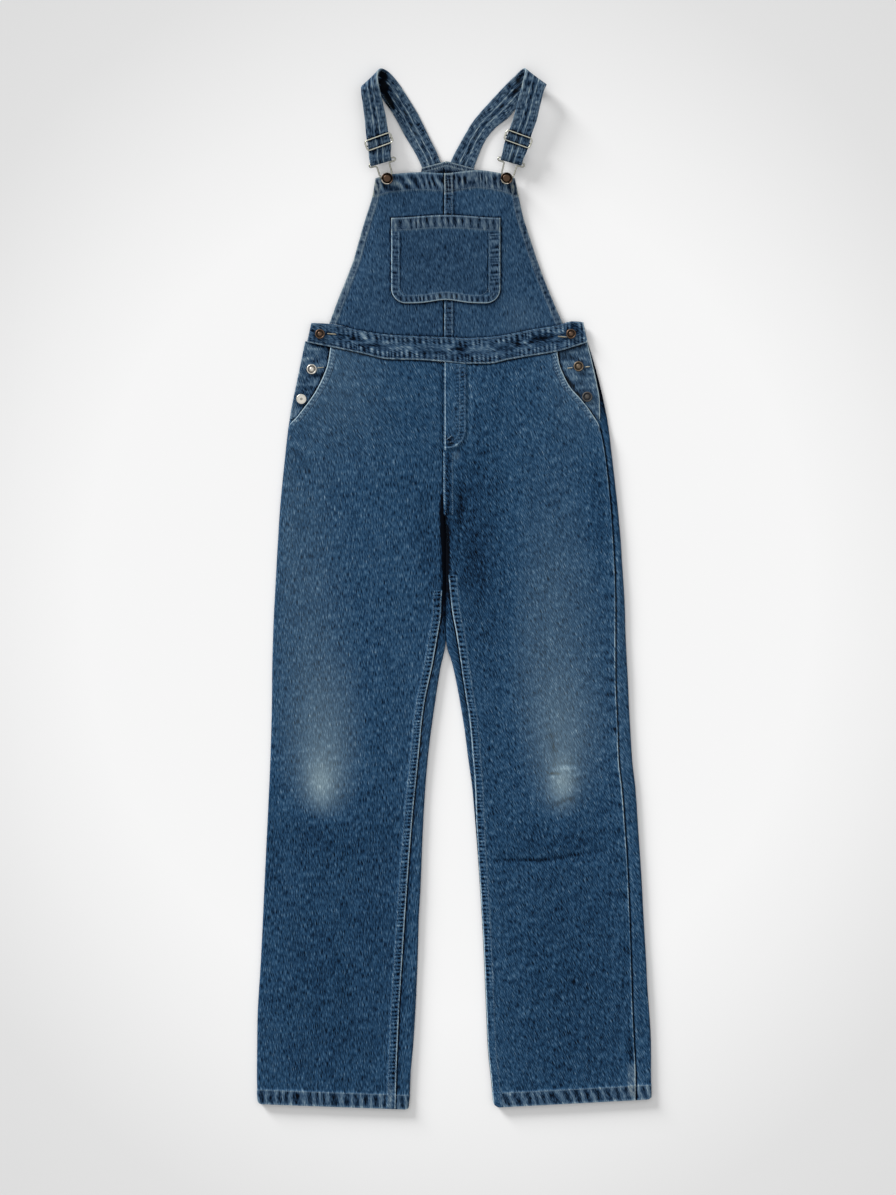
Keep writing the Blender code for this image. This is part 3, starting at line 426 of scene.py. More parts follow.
def denim(name, ground, lean, streaks=2.5, clouds=0.22):
    """Strength is ground + wear - shade + the streaks' and the clouds' distance from their middle.

    Below zero, the broad fades' number holds the painted shadows and is added in full. Above zero it raises
    the strength a little and mixes in the worn colour, so that the streaks soften where the cloth is pale.
    """
    material, nodes = new_material(name)
    cloth = nodes.add("UVMap", uv_map="cloth").outputs["UV"]
    lines = twill(nodes, cloth)
    slubs, slow = streaks_and_clouds(nodes, cloth, lean)
    # below zero this number holds painted shadows, and shade holds painted shade as well as unrubbed indigo
    fade = nodes.read("fade")
    paler = nodes.math("MAXIMUM", fade, 0.0)
    strength = nodes.math("ADD", nodes.math("MINIMUM", fade, 0.0), ground)
    for value, amount in ((paler, 0.35), (nodes.read("wear"), 0.78), (nodes.read("shade"), -0.5)):
        strength = nodes.plus(strength, value, amount)
    for value, amount in ((slubs, streaks), (slow, clouds), (lines, 0.2)):
        strength = nodes.plus(strength, nodes.math("SUBTRACT", value, 0.5), amount)
    colour = nodes.blend(nodes.math("MULTIPLY", paler, 0.5), nodes.ramp(strength, INDIGO), WORN)
    lightness = nodes.math("MAXIMUM", nodes.math("SUBTRACT", strength, 0.15), 0.0)
    greyer = nodes.math("MULTIPLY", nodes.read("grey"), nodes.math("MULTIPLY", lightness, 3.0))
    colour = nodes.blend(greyer, colour, WARM_GREY)
    colour = nodes.blend(nodes.math("MULTIPLY", nodes.read("pale"), 0.85), colour, WRONG_SIDE)
    weave = nodes.bump(nodes.plus(lines, slubs, 0.8), 0.55, 0.00035)
    rough = nodes.plus(0.78, lines, 0.16)
    nodes.cover(colour, Roughness=rough, Normal=weave, Specular_IOR_Level=0.05)
    return material


DENIM = denim("denim", 0.39, -22.0)
BIB_DENIM = denim("denim_smooth", 0.385, -19.0, streaks=1.95, clouds=0.18)
LEFT_DENIM = denim("denim_upright", 0.39, -6.0)
STRAP_DENIM = denim("strap_denim", 0.4, 4.0)
print("materials:", DENIM.name, BIB_DENIM.name, LEFT_DENIM.name, STRAP_DENIM.name)

# %% [markdown]
# ## Stitches
# A lockstitch shows as a row of short threads that dip into the cloth at both ends. A texture of dashes
# would be flat, so each stitch is a small tube with its ends tucked in. All the stitches of a region are
# one mesh: the same few faces are placed along a path by arrays.

# %% Sew along a path
STITCH_PITCH = 3.1  # mm from one needle hole to the next
THREAD_RADIUS = 0.3
SEAM_LINES = {}  # for each piece, the (points, normals) that its rows of stitches follow


def on_grid(grid, rows, columns):
    """A grid read at fractional rows and columns, blended between its four nearest points."""
    rows, columns = np.broadcast_arrays(np.asarray(rows, float), np.asarray(columns, float))
    i = np.clip(np.floor(rows).astype(int), 0, grid.shape[0] - 2)
    j = np.clip(np.floor(columns).astype(int), 0, grid.shape[1] - 2)
    u, v = (rows - i)[:, None], (columns - j)[:, None]
    near = grid[i, j] * (1 - v) + grid[i, j + 1] * v
    far = grid[i + 1, j] * (1 - v) + grid[i + 1, j + 1] * v
    return near * (1 - u) + far * u


def reached(values, target):
    """The fractional place in a row of growing values where they reach the target."""
    return np.interp(target, values, np.arange(len(values)))


def sew(piece, rows, columns, surface=None):
    """Keeps a seam line, given by fractional rows and columns of the piece's grid, for its stitches."""
    grid, normals = surface or SURFACES[piece]
    path = on_grid(grid, rows, columns)
    SEAM_LINES.setdefault(piece, []).append((path, on_grid(normals, rows, columns)))


def sew_across(piece, values, target, first=1, last=-1):
    """A seam line where the values reach the target in each column. They grow from row to row."""
    columns = np.arange(values.shape[1])[first:last]
    sew(piece, np.array([reached(values[:, c], target) for c in columns]), columns)


def sew_down(piece, values, target, first=1, last=-1, surface=None):
    """A seam line where the values reach the target in each row. They grow from column to column."""
    rows = np.arange(len(values))[first:last]
    sew(piece, rows, np.array([reached(values[r], target) for r in rows]), surface)


def sew_flat(piece, *line_of_places):
    """A seam line through places given as x, y and z, with its stitches facing upwards."""
    path = np.stack(line_of_places, 1)
    SEAM_LINES.setdefault(piece, []).append((path, np.tile([0.0, 0.0, 1.0], (len(path), 1))))


def stitch_rings(path, normals):
    """The stitches along one path: for each, 4 rings of 5 points, low at its ends and proud in its middle."""
    reach = walked(path)
    count = max(int(reach[-1] / STITCH_PITCH), 1)
    begin = (np.arange(count) + 0.12) * reach[-1] / count
    share = np.array([0.0, 0.26, 0.74, 1.0])
    at = begin[:, None] + share * 0.76 * reach[-1] / count
    here = np.stack([np.interp(at, reach, path[:, k]) for k in range(3)], 2)
    up = np.stack([np.interp(at, reach, normals[:, k]) for k in range(3)], 2)
    heading = here[:, -1:] - here[:, :1]
    heading /= np.maximum(np.linalg.norm(heading, axis=2, keepdims=True), 1e-9)
    side = np.cross(heading, up)
    side /= np.maximum(np.linalg.norm(side, axis=2, keepdims=True), 1e-9)
    centre = here + up * np.array([-0.22, 0.12, 0.12, -0.22])[None, :, None]
    radius = THREAD_RADIUS * np.array([0.6, 1.0, 1.0, 0.6])[None, :, None, None]
    turn = np.arange(5) * 2 * math.pi / 5
    round_ = np.cos(turn)[:, None] * side[:, :, None] + np.sin(turn)[:, None] * up[:, :, None]
    return (centre[:, :, None] + radius * round_).reshape(-1, 20, 3)


def stitch_faces(count):
    """The faces of count stitches: three bands of quads and two end caps on 20 points each."""
    k = np.arange(5)
    band = np.stack([k, (k + 1) % 5, 5 + (k + 1) % 5, 5 + k], 1)
    one = np.concatenate([band, band + 5, band + 10])
    quads = (one[None] + 20 * np.arange(count)[:, None, None]).reshape(-1, 4).tolist()
    caps = np.array([[4, 3, 2, 1, 0], [15, 16, 17, 18, 19]])
    return quads + (caps[None] + 20 * np.arange(count)[:, None, None]).reshape(-1, 5).tolist()


# %% [markdown]
# ## The trousers' form
# A trouser leg lying flat is a squashed tube. Its section is a ring with a flat underside, a rounded fold
# at each side and a flat top. The front panel covers the ring from the outer seam to the inner seam, and
# the back panel covers the rest, so it wraps round the folds and shows as a strip beside the seam.

# %% Sizes of the trousers
CLOTH = 1.3
SEAM_GAP = 0.35
WAIST_GAP = 0.6
LEG_HEIGHT = 6.0
CROWN = 0.6
HIP_FOLD = 2.9
HIP_LAP = 14.0
HEM = 21.0
HEM_RELIEF = 0.7
CENTRE = -14.6
FORK = (118.0, 88.0)  # the y between which the legs part
# y, then x of the outer fold, the outer seam, the inner seam and the inner fold, and the inner fold's roll
LEFT_LEG = (
    (350, -212.5, -176, -14.8, -14.8, 0.3),
    (325, -217.5, -180, -14.8, -14.8, 0.3),
    (305, -221.8, -186.6, -14.8, -14.8, 0.3),
    (285, -226, -195.5, -14.8, -14.8, 0.3),
    (266, -229.8, -207, -14.8, -14.8, 0.3),
    (245, -233.5, -223, -14.8, -14.8, 0.3),
    (230, -235.6, -235, -14.8, -14.8, 0.3),
    (190, -240, -239.4, -14.8, -14.8, 0.3),
    (118, -247.2, -246.6, -14.6, -14.6, 0.5),
    (77, -250, -249.4, -12.6, -12.1, 5.5),
    (20, -253.2, -252.6, -13.6, -12.1, 6.5),
    (0, -254.2, -253.6, -19.5, -12.1, 6),
    (-42, -256.5, -255.9, -27.3, -12, 4.5),
    (-72, -257.6, -257, -33.2, -12, 3.5),
    (-112, -258.5, -257.9, -39.5, -19.7, 3),
    (-160, -259, -258.4, -46, -27.3, 3),
    (-243, -261.3, -260.7, -54, -38, 3),
    (-318, -264.7, -264.1, -61.5, -43.5, 3),
    (-407, -269, -268.4, -68.5, -47.3, 3),
    (-524, -274.6, -274, -76.3, -51.8, 3),
    (-618, -279.6, -279, -81.8, -56.5, 3),
    (-696, -280.3, -279.7, -84.3, -62, 3),
    (-735, -279.2, -278.6, -84.8, -65, 3),
)
RIGHT_LEG = (
    (350, 190, 146, -14.4, -14.4, 0.3),
    (334, 195, 148.5, -14.4, -14.4, 0.3),
    (310, 201.8, 156.3, -14.4, -14.4, 0.3),
    (291, 206.6, 165, -14.4, -14.4, 0.3),
    (272, 211, 178.8, -14.4, -14.4, 0.3),
    (250, 215.4, 194.3, -14.4, -14.4, 0.3),
    (232, 218.4, 205, -14.4, -14.4, 0.3),
    (190, 223.3, 213.6, -14.4, -14.4, 0.3),
    (118, 231.6, 221.4, -14.2, -14.2, 0.5),
    (77, 235.3, 224.4, -10.2, -11.2, 5.5),
    (22, 239, 227.3, -5, -11.2, 5.5),
    (-28, 242, 228.3, -0.3, -11.2, 4.5),
    (-68, 243.2, 228.3, 6.6, -10.8, 3.5),
    (-118, 245.5, 228.3, 13.2, -0.3, 3),
    (-156, 247.4, 229.5, 16.8, 7.2, 3),
    (-201, 249.8, 231.5, 21, 14.6, 3),
    (-243, 252.2, 233, 24.4, 20, 3),
    (-283, 257, 237.5, 27.7, 25.5, 3),
    (-335, 260.5, 241.5, 31, 29.8, 3),
    (-403, 265, 245.8, 35.5, 34.9, 3),
    (-490, 270, 249.2, 40.8, 40.2, 3),
    (-593, 276.6, 252.4, 45.3, 44.7, 3),
    (-645, 279.3, 254.6, 47.7, 47.1, 3),
    (-696, 280.3, 257, 52.9, 52.3, 3),
    (-735, 279.6, 257, 56.6, 56, 3),
)
# Each leg's table, its hem's y at the middle and the hem's slope
LEGS = {"left": (LEFT_LEG, -734.5, -0.0364), "right": (RIGHT_LEG, -729.7, 0.053)}
LEG_TOP = 350
LEG_MIDDLE = {"left": -170.0, "right": 168.0}
# x, then the waistband's lower and upper edge
WAIST = (
    (-209, 349.7, 377.5),
    (-176, 343.2, 376),
    (-133, 334.3, 366.5),
    (-93, 325.6, 360.6),
    (-52, 324.6, 358.6),
    (-15, 322, 357.1),
    (17, 319.2, 355.9),
    (50, 319.6, 357.4),
    (78, 325.4, 361.4),
    (112, 330.9, 368.2),
    (147, 337, 374.2),
    (168, 343, 379.6),
    (189, 349.7, 377.5),
)
BACK_WAIST = ((-207, 349.2, 376.5), (CENTRE, 322.0, 356.0), (187, 349.2, 376.5))
# The radius of each hem's left and right corner
HEM_CORNERS = {"left": (6.0, 5.0), "right": (9.5, 6.0)}
# How far each inside leg's felled edge lies past the panels' seam, towards the fold, from the fork down
FELL_PAST_SEAM = {
    "left": (
        (20, 1.0), (-16, 4.5), (-37, 7.4), (-72, 8.5), (-101, 8.2), (-129, 6.3), (-158, 4.0), (-200, 2.8),
        (-600, 2.6), (-735, 1.5),
    ),
    "right": (
        (20, 4.0), (-115, 2.6), (-150, 0.6), (-186, -1.6), (-260, -1.8), (-330, -0.4), (-400, 0.0),
        (-735, 0.0),
    ),
}
LOWER, UPPER = 1, 2  # where WAIST and BACK_WAIST hold these two edges
print("legs from y", LEFT_LEG[0][0], "to", LEFT_LEG[-1][0], "mm")

# %% [markdown]
# ## Creases
# Worn denim keeps soft folds: behind the knee, at the fork and where a hip bent. Cloth simulation would
# give folds at random, so each one is a row with two ends, a half width and a height, below zero for a
# trough. Low noise between them keeps the panel from looking ironed.

# %% Soft folds
# x and y of one end, x and y of the other, half width, height
FOLDS = (
    (62, -386, 130, -385, 8, -1),
    (130, -385, 212, -370, 8, -0.6),
    (10, 128, 26, 40, 13, -1.1),
    (-32, 120, -40, 30, 12, -0.7),
    (-102, 148, -56, 144, 8, -0.5),
    (140, -262, 176, -266, 9, 0.8),
    (136, -300, 168, -292, 8, 0.7),
    (-190, -250, -168, -290, 16, 0.8),
    (150, -215, 158, -310, 20, 0.7),
    (-228, 205, -190, 160, 9, 0.6),
    (-226, 180, -196, 120, 9, -0.5),
    (-60, -120, -50, -300, 14, -0.5),
)
# The same for the narrow creases, which also get a painted highlight on one side and painted shade inside
CREASES = (
    (64, -385, 128, -385, 2.7, -0.46),
    (128, -385, 178, -376, 2.7, -0.38),
    (178, -376, 214, -369, 2.9, -0.2),
    (137, -206, 142, -231, 2.4, -0.75),
    (142, -232, 143, -250, 2.4, -0.35),
    (136, -262, 150, -261, 1.9, -0.8),
    (152, -256, 172, -254, 2, 0.6),
    (150, -249, 178, -246, 2.2, -0.4),
    (143, -307, 168, -295, 2.2, -0.52),
    (177, -263, 215, -263, 1.7, 0.34),
    (4, 150, 12, 112, 4.5, -0.1),
    (12, 112, 5, 94, 4.5, -0.1),
    (162, -252, 164, -278, 2.4, 0.2),
    (-180, -234, -178, -262, 2.6, -0.25),
    (-198, -282, -180, -300, 6, 0.12),
    (-96, 146, -56, 148, 4, -0.14),
    (-226, 196, -206, 166, 4, -0.3),
    (-222, 206, -200, 190, 3.5, 0.3),
    (-48, 100, -30, 112, 4, 0.25),
)


def fold_height(x, y, table):
    """The folds' height: each is a bell curve across its line, and past the ends it fades the same way."""
    height = np.zeros(np.broadcast(x, y).shape)
    for x1, y1, x2, y2, half_width, rise in table:
        length = math.hypot(x2 - x1, y2 - y1)
        ux, uy = (x2 - x1) / length, (y2 - y1) / length
        along = (x - x1) * ux + (y - y1) * uy
        off = (y - y1) * ux - (x - x1) * uy
        past = np.clip(np.abs(along - length / 2) - length / 2, 0, None)
        height = height + rise * np.exp(-(off**2 + past**2) / half_width**2)
    return height


def lift(x, y, z, left, right):
    """How far a point of the ring rises: the crown and the folds, in full on top and nothing underneath."""
    share = held((x - left) / (right - left))
    crown = CROWN * (1 - (2 * share - 1) ** 4)
    return (crown + fold_height(x, y, FOLDS)) * ease(z / LEG_HEIGHT)


# %% [markdown]
# ## Rings for every level at once
# The ring of each level is worked out in one array with a row for each level. Walking along it by a
# distance gives the cloth's place, which is how a tailor measures: along the cloth, not through the air.

# %% Rings and the walk along them
ARC_POINTS = 14


def ring(left, right, left_roll, right_roll, left_height, height):
    """Sections of a leg, rows x points x (x, z): four quarter ellipses and the flats between them."""
    quarter = np.linspace(0, math.pi / 2, ARC_POINTS)[None]
    cosine, sine = np.cos(quarter), np.sin(quarter)
    parts = (
        (left + left_roll * (1 - cosine), left_height / 2 * (1 + sine)),
        (right - right_roll * (1 - sine), height / 2 * (1 + cosine)),
        ((right - right_roll * (1 - cosine))[:, 1:], (height / 2 * (1 - sine))[:, 1:]),
        ((left + left_roll * (1 - sine))[:, :-1], (left_height / 2 * (1 - cosine))[:, :-1]),
    )
    return np.concatenate([stacked(*part) for part in parts], 1)


def rowwise(knots, values, at):
    """Straight lines between knots, for each row: knots and values are rows x n, and at is rows x m."""
    i = np.clip((knots[:, None, :] <= at[:, :, None]).sum(2) - 1, 0, knots.shape[1] - 2)
    low, high = np.take_along_axis(knots, i, 1), np.take_along_axis(knots, i + 1, 1)
    share = (at - low) / np.maximum(high - low, 1e-9)
    return np.take_along_axis(values, i, 1) * (1 - share) + np.take_along_axis(values, i + 1, 1) * share


def walk(points):
    """Rings closed by their first point, and the distance walked along each ring to each point."""
    closed = np.concatenate([points, points[:, :1]], 1)
    steps = np.linalg.norm(np.diff(closed, axis=1), axis=2)
    return closed, np.concatenate([np.zeros((len(points), 1)), np.cumsum(steps, 1)], 1)


def waist_edge(x, edge, front):
    """The y of one of the waistband's edges. At the back they are straight on each side."""
    if front:
        return column(WAIST, edge, x)
    rows = np.asarray(BACK_WAIST)
    return np.interp(x, rows[:, 0], rows[:, edge])


def leg_y(side, x, level, front):
    """The y of a point: the level, plus the hem's slope at the foot and the waistband's edge at the top."""
    near_hem = ease((-560 - level) / 150)
    top = waist_edge(x, LOWER, front) - WAIST_GAP
    near_top = ease((level - 200) / 150)
    return level + near_hem * LEGS[side][2] * (x - LEG_MIDDLE[side]) + near_top * (top - LEG_TOP)


FRONT_LAP, BACK_LAP = 1.8, 1.1  # mm that the right half laps over the left one at the centre seam


class Panel:
    """A leg's front or back panel: its grid, its normals and each point's distance from its two seams."""

    def __init__(self, side, front, levels, near_outer, near_inner, middle_count, past_seam=False):
        level = np.asarray(levels, float)[:, None]
        outer, outer_seam, inner_seam, inner, roll = (column(LEGS[side][0], k, level) for k in range(1, 6))
        hip = ease((level - 203) / 34)
        mirror = 1 if side == "left" else -1
        outer_height = np.full(level.shape, LEG_HEIGHT)
        if not front:
            outer_height = outer_height + hip * (HIP_FOLD - LEG_HEIGHT)
            outer_seam = outer_seam + ease((level - 237) / 20) * (outer + mirror * HIP_LAP - outer_seam)
        points = ring(mirror * outer, mirror * inner, outer_height / 2, roll, outer_height, LEG_HEIGHT)
        closed, reach = walk(points)
        # Both seams as distances walked. Above the fork the inner one is on the upright fold.
        top = 2 * ARC_POINTS
        start = rowwise(points[:, :top, 0], reach[:, :top], mirror * outer_seam)
        end = rowwise(points[:, :top, 0], reach[:, :top], mirror * inner_seam)
        over = reach[:, top - 1 : top]
        apart = 1 - ease((level - FORK[1]) / (FORK[0] - FORK[1]))
        if front:
            first = start + SEAM_GAP / 2
            last = apart * end + (1 - apart) * (over - LEG_HEIGHT / 2) - SEAM_GAP / 2
        else:
            last = apart * end + (1 - apart) * (over + LEG_HEIGHT / 2) + SEAM_GAP / 2
            first = reach[:, -1:] + start - SEAM_GAP / 2
        if past_seam:
            last = last + column(FELL_PAST_SEAM[side], 1, level)
        # The columns are places between the seams, read back from the ring.
        wanted = across(first, near_outer, last, near_inner, middle_count)
        around = np.mod(wanted, reach[:, -1:])
        x, z = (rowwise(reach, closed[:, :, k], around) for k in range(2))
        x = mirror * x
        if side == "right":
            # The right half laps over the left one, so that nothing shows between them.
            lap, lowest, from_edge = (FRONT_LAP, 98, last - wanted) if front else (BACK_LAP, -98, x - inner)
            x = x - lap * ease((level - lowest) / 8) * ease(1 - np.abs(from_edge) / 4)
        left, right = np.minimum(outer, inner), np.maximum(outer, inner)
        y = leg_y(side, x, level, front) + self.corner_rise(side, x, level, left, right)
        lying = 1.0 if front else 1 - hip
        z = z + lying * lift(x, y, z, left, right)
        self.grid = stacked(x, y, z)
        centre = stacked((outer + inner) / 2, level, LEG_HEIGHT / 2)
        self.normals = normals_of(self.grid, centre)
        self.from_outer, self.from_inner = np.abs(wanted - first), np.abs(last - wanted)
        self.level = np.broadcast_to(level, x.shape)
        # The weave runs on from the middle column, as far as the cloth is walked.
        middle = slice(x.shape[1] // 2, x.shape[1] // 2 + 1)
        over_cloth = mirror * (wanted - wanted[:, middle]) + (1 if front else -1) * x[:, middle]
        tilt = 0.35 * np.clip(y - 190, 0, None) * (side == "left")
        self.uv = stacked(over_cloth + tilt, y)

    @staticmethod
    def corner_rise(side, x, level, left, right):
        """How far the hem's two corners are rounded off: each is a quarter circle."""
        near_hem = ease((LEGS[side][1] + 14 - level) / 14)
        rise = 0.0
        for distance, radius in zip((x - left, right - x), HEM_CORNERS[side]):
            share = held(1 - distance / radius)
            rise = rise + radius * (1 - np.sqrt(1 - share**2))
        return rise * near_hem


# %% [markdown]
# ## Fades and painted shadows
# The cloth is palest over the knees and thighs, where it was rubbed, and darkest at the shins' sides. At the
# fork, and beside the right hip's facing, the near-black is painted shadow, and soft dark spots by the fork
# are painted shade of its folds. Painting each place would need a picture. Some thirty soft oval spots,
# each with a place, a size, a tilt and a strength, say the same thing and can be moved with one number.

# %% Faded places and painted shadows
# x, y, half width, half length, tilt in degrees, strength: above zero is paler, below zero darker, and the
# most negative rows are painted shadow
FADES_AND_SHADES = (
    (-190, -276, 18, 30, 4, 0.4),
    (-187, -262, 32, 52, 6, 0.2),
    (-184, -200, 46, 96, 3, 0.2),
    (-186, -352, 60, 34, 0, -0.1),
    (153, -274, 17, 30, -3, 0.5),
    (148, -246, 30, 66, 0, 0.11),
    (154, -196, 46, 92, 0, 0.18),
    (152, -356, 60, 34, 0, -0.08),
    (-212, -10, 46, 190, 2, 0.07),
    (130, -50, 60, 150, -4, 0.1),
    (-170, 300, 60, 90, 0, 0.08),
    (180, 320, 50, 90, 0, 0.06),
    (-175, -580, 95, 230, 0, -0.1),
    (165, -580, 95, 230, 0, -0.1),
    (-262, -330, 10, 170, 2, -0.05),
    (-108, -330, 30, 200, 4, -0.05),
    (70, -250, 34, 180, 4, -0.04),
    (26, 110, 34, 120, -6, -0.12),
    (50, -30, 40, 100, -6, -0.08),
    (222, 130, 26, 80, 0, -0.1),
    (-36, 60, 18, 110, 8, -0.1),
    (-236, 120, 12, 150, 0, 0.03),
    # painted shadow in the groove at the fork: this row and the next
    (-12.5, 56, 4.4, 38, 0, -1.6),
    (-17.6, 100, 2.4, 24, 0, -1.2),
    (3.5, 189, 5, 7, 0, 0.22),
    # painted shadow where the back strips meet below the fork
    (-14, -16, 4.5, 40, 0, -0.35),
    # painted shade of the soft folds by the fork: this row and the next
    (8, 118, 9, 34, -10, -0.14),
    (30, 34, 20, 46, -8, -0.1),
    # painted shadow beside the right facing's free edge
    (207, 300, 9, 54, 12, -1),
)


def fade_and_shade_at(x, y):
    """The sum of the oval spots, each a bell curve of the distance from its middle in its own half sizes."""
    total = np.zeros(np.broadcast(x, y).shape)
    for cx, cy, half_x, half_y, tilt, strength in FADES_AND_SHADES:
        cosine, sine = math.cos(math.radians(tilt)), math.sin(math.radians(tilt))
        u = ((x - cx) * cosine + (y - cy) * sine) / half_x
        v = ((y - cy) * cosine - (x - cx) * sine) / half_y
        total = total + strength * np.exp(-(u * u + v * v))
    return total


print("fade at the left knee:", round(float(fade_and_shade_at(-187.0, -276.0)), 2))

# %% [markdown]
# ## Marks of sewing on the trousers
# Stitching pulls the cloth short, so it ropes: light ridges and dark hollows cross every hem and seam.
# The same function of the place along the seam gives the relief and the colour, so each pale streak lies
# on a real ridge, just as it does when washing rubs the high places.

# %% Hems, seams and pockets' edges
HEM_ROPING = {"left": (13.5, 0.1, 3, 0.5), "right": (14.0, 0.55, 8, 0.35)}  # spacing, lean, seed, unevenness
POCKET_EDGE = 8.4  # from the pocket's edge to its second row of stitches


def mark_hem(marks, panel, side, upper):
    """Dark ovals between light bars on the turned-up hem, a worn lower edge and a pale stitched line."""
    spacing, lean, seed, uneven = HEM_ROPING[side]
    height = panel.level - LEGS[side][1]
    share = held(height / HEM)
    ridge = roping(panel.grid[..., 0], share, spacing, lean, seed, uneven)
    inside = ease((HEM + 1.0 - height) / 2.0) * upper
    belly = hump(share, 0.7) * inside
    oval = ease(1.3 * (0.22 - ridge - 0.9 * (2 * share - 1) ** 4)) * inside
    marks.add(
        bend=0.42 * ridge * belly,
        wear=inside * (0.5 * held(ridge + 0.1) - 0.04) + 0.35 * line(height, 0.6, 1.6) * upper,
        shade=0.4 * oval,
        grey=0.1 * inside,
    )
    slanted = panel.grid[..., 0] + 0.7 * np.clip(height - HEM, 0, None)
    drag = pulled(slanted, height - HEM, spacing * 0.8, 11, seed + 1) * upper
    marks.add(bend=0.18 * drag, wear=0.12 * drag + 0.3 * line(height, HEM - 0.6, 1.3) * upper)


def mark_creases(marks, x, y, upper):
    """Narrow creases, with painted shade inside and a painted highlight on one side, pale where raised, and a
    low uneven lie of the cloth.
    """
    crease = fold_height(x, y, CREASES)
    # beside is the creases moved 3.6 mm down: it paints a highlight on that side of each trough
    beside = fold_height(x, y + 3.6, CREASES)
    marks.add(
        bend=upper * (crease + 0.22 * cloud(x / 34, y / 60, 5) + 0.1 * cloud(x / 13, y / 24, 6)),
        # painted shade inside the troughs
        shade=upper * 1.1 * held(-crease),
        wear=upper * (0.5 * held(crease) + 0.16 * held(-beside)),
        fade=fade_and_shade_at(x, y) * (0.25 + 0.75 * upper),
    )


def mark_waist_seam(marks, panel, upper):
    """Short upright streaks under the waistband, and painted shade just under its lower edge."""
    x, y = panel.grid[..., 0], panel.grid[..., 1]
    below = np.clip(waist_edge(x, LOWER, True) - WAIST_GAP - y, 0, None)
    streak = roping(x, 0.0, 6.2, 0.0, 12) * np.exp(-below / 7) * upper
    # painted shade in a line just under the waistband's lower edge
    marks.add(bend=0.16 * streak, wear=0.14 * np.clip(streak, -0.5, 1), shade=0.9 * line(below, 0, 1.5))
    if x[0, 0] > 0:
        marks.add(wear=0.16 * ease((y - 197) / 12) * line(x, 22.0, 3.2))


def mark_pocket_edge(marks, panel, side):
    """The slanted pocket's edge: a bright worn fold, then puckers between its two rows of stitches."""
    off = panel.from_outer
    here = ease((panel.level - 226) / 14)
    share = held((off - 1.0) / POCKET_EDGE)
    ridge = roping(panel.level, share, 5.2, 0.3, 21 if side == "left" else 22)
    band = hump(off / (POCKET_EDGE + 1.5)) * here
    marks.add(
        bend=0.2 * ridge * band - 0.35 * held(1 - off / 0.9) ** 2 * here,
        wear=here * (1.25 * line(off, 0.4, 0.7) + 0.16 * line(off, 12.6, 2.0) + 0.26 * line(off, 4, 3.4))
        + 0.34 * held(ridge) * band,
        shade=0.6 * held(-ridge + 0.05) * band + 0.2 * here * line(off, 9.6, 0.9),
        grey=0.05 * band,
    )


# %% The side seam
# The y of each dark hollow beside the pressed-open side seam
SEAM_HOLLOWS = (
    23, -11, -34, -58, -80, -102, -129, -152, -172, -200, -237, -264, -280, -308, -348, -383, -406, -436,
    -470, -512, -560, -596, -630,
)


def mark_side_seam(marks, panel, front):
    """The pressed-open side seam on the right leg: a pale ridge, dark hollows beside it on the front, and
    painted shade beside it on the back.
    """
    off, level = panel.from_outer, panel.level
    here = ease((238 - level) / 12)
    if not front:
        # on the back panel: painted shade in a line beside the seam
        marks.add(wear=here * 0.16 * line(off, 4.0, 1.6), shade=here * 1.3 * line(off, 0.2, 1.6))
        return
    spot = np.zeros(off.shape)
    for k, place in enumerate(SEAM_HOLLOWS):
        reach, tall = 10.5 + 2 * math.sin(2.3 * k), 3.8 + 0.8 * math.sin(4.1 * k)
        depth = 0.8 + 0.2 * math.sin(5.7 * k)
        spot += depth * line(level - 0.15 * off, place, tall) * line(off, 0, reach)
    low = ease((-420 - level) / 60)
    spot = spot * (1 - 0.5 * low) * ease((off - 0.8) / 1.5)
    ridge_height = (0.62 + 0.25 * cloud(level / 40, 0.0, 2)) * (1 - 0.3 * ease((level - 20) / 60))
    worn = ease((-675 - level) / 6) * ease((level + 727) / 6) * ease((12.5 - off) / 2.5)
    dark = ease((-638 - level) / 6) * ease((level + 677) / 6) * line(off, 5.5, 4.5)
    marks.add(
        bend=here * 0.3 * line(off, 1.4, 1.6) - 0.35 * spot,
        wear=here * (ridge_height * line(off, 0.7, 0.75) + 0.08 * line(off, 5, 4.5)) + 0.2 * worn,
        shade=0.85 * spot * (1 - worn) + 0.12 * low * line(off, 6, 4) + 0.45 * dark,
        grey=0.1 * worn,
    )


# %% [markdown]
# ## Leg panels
# The rows lie close together where there is sewing and further apart on the plain cloth, so that the
# faces go where something happens. The wall's inner face follows the bends, but not the hem's extra
# thickness.

# %% How panels are built
STEP = 3.5  # mm between points on plain cloth
FINE = 1.4  # mm between points on sewn cloth
HEM_ZONE = 27  # how far above the hem's edge the cloth is sewn
POCKET_SEWN = {"left": (342, 238), "right": (336, 238)}  # the levels that its stitches run between
FELL = 12.2  # a felled seam's width


def hem_relief(side, level):
    """How much higher the turned-up hem lies."""
    return HEM_RELIEF * ease((HEM + 1.5 - (level - LEGS[side][1])) / 1.5)


def panel_shell(name, panel, marks, relief, node):
    """The panel's two faces: the outer has the bend and the relief, and the inner lies one cloth below."""
    lifted = panel.grid + panel.normals * (marks.bend + relief)[..., None]
    inner = panel.grid + panel.normals * (marks.bend - CLOTH)[..., None]
    lifted[..., 2] = np.maximum(lifted[..., 2], 0.0)
    inner[..., 2] = np.maximum(inner[..., 2], 0.3)
    finish = LEFT_DENIM if node.endswith("left") else DENIM
    shell(name, lifted, inner, panel.uv, marks, finish, 0.4, stands_for=(node,), normals=panel.normals)


# %% Front panels


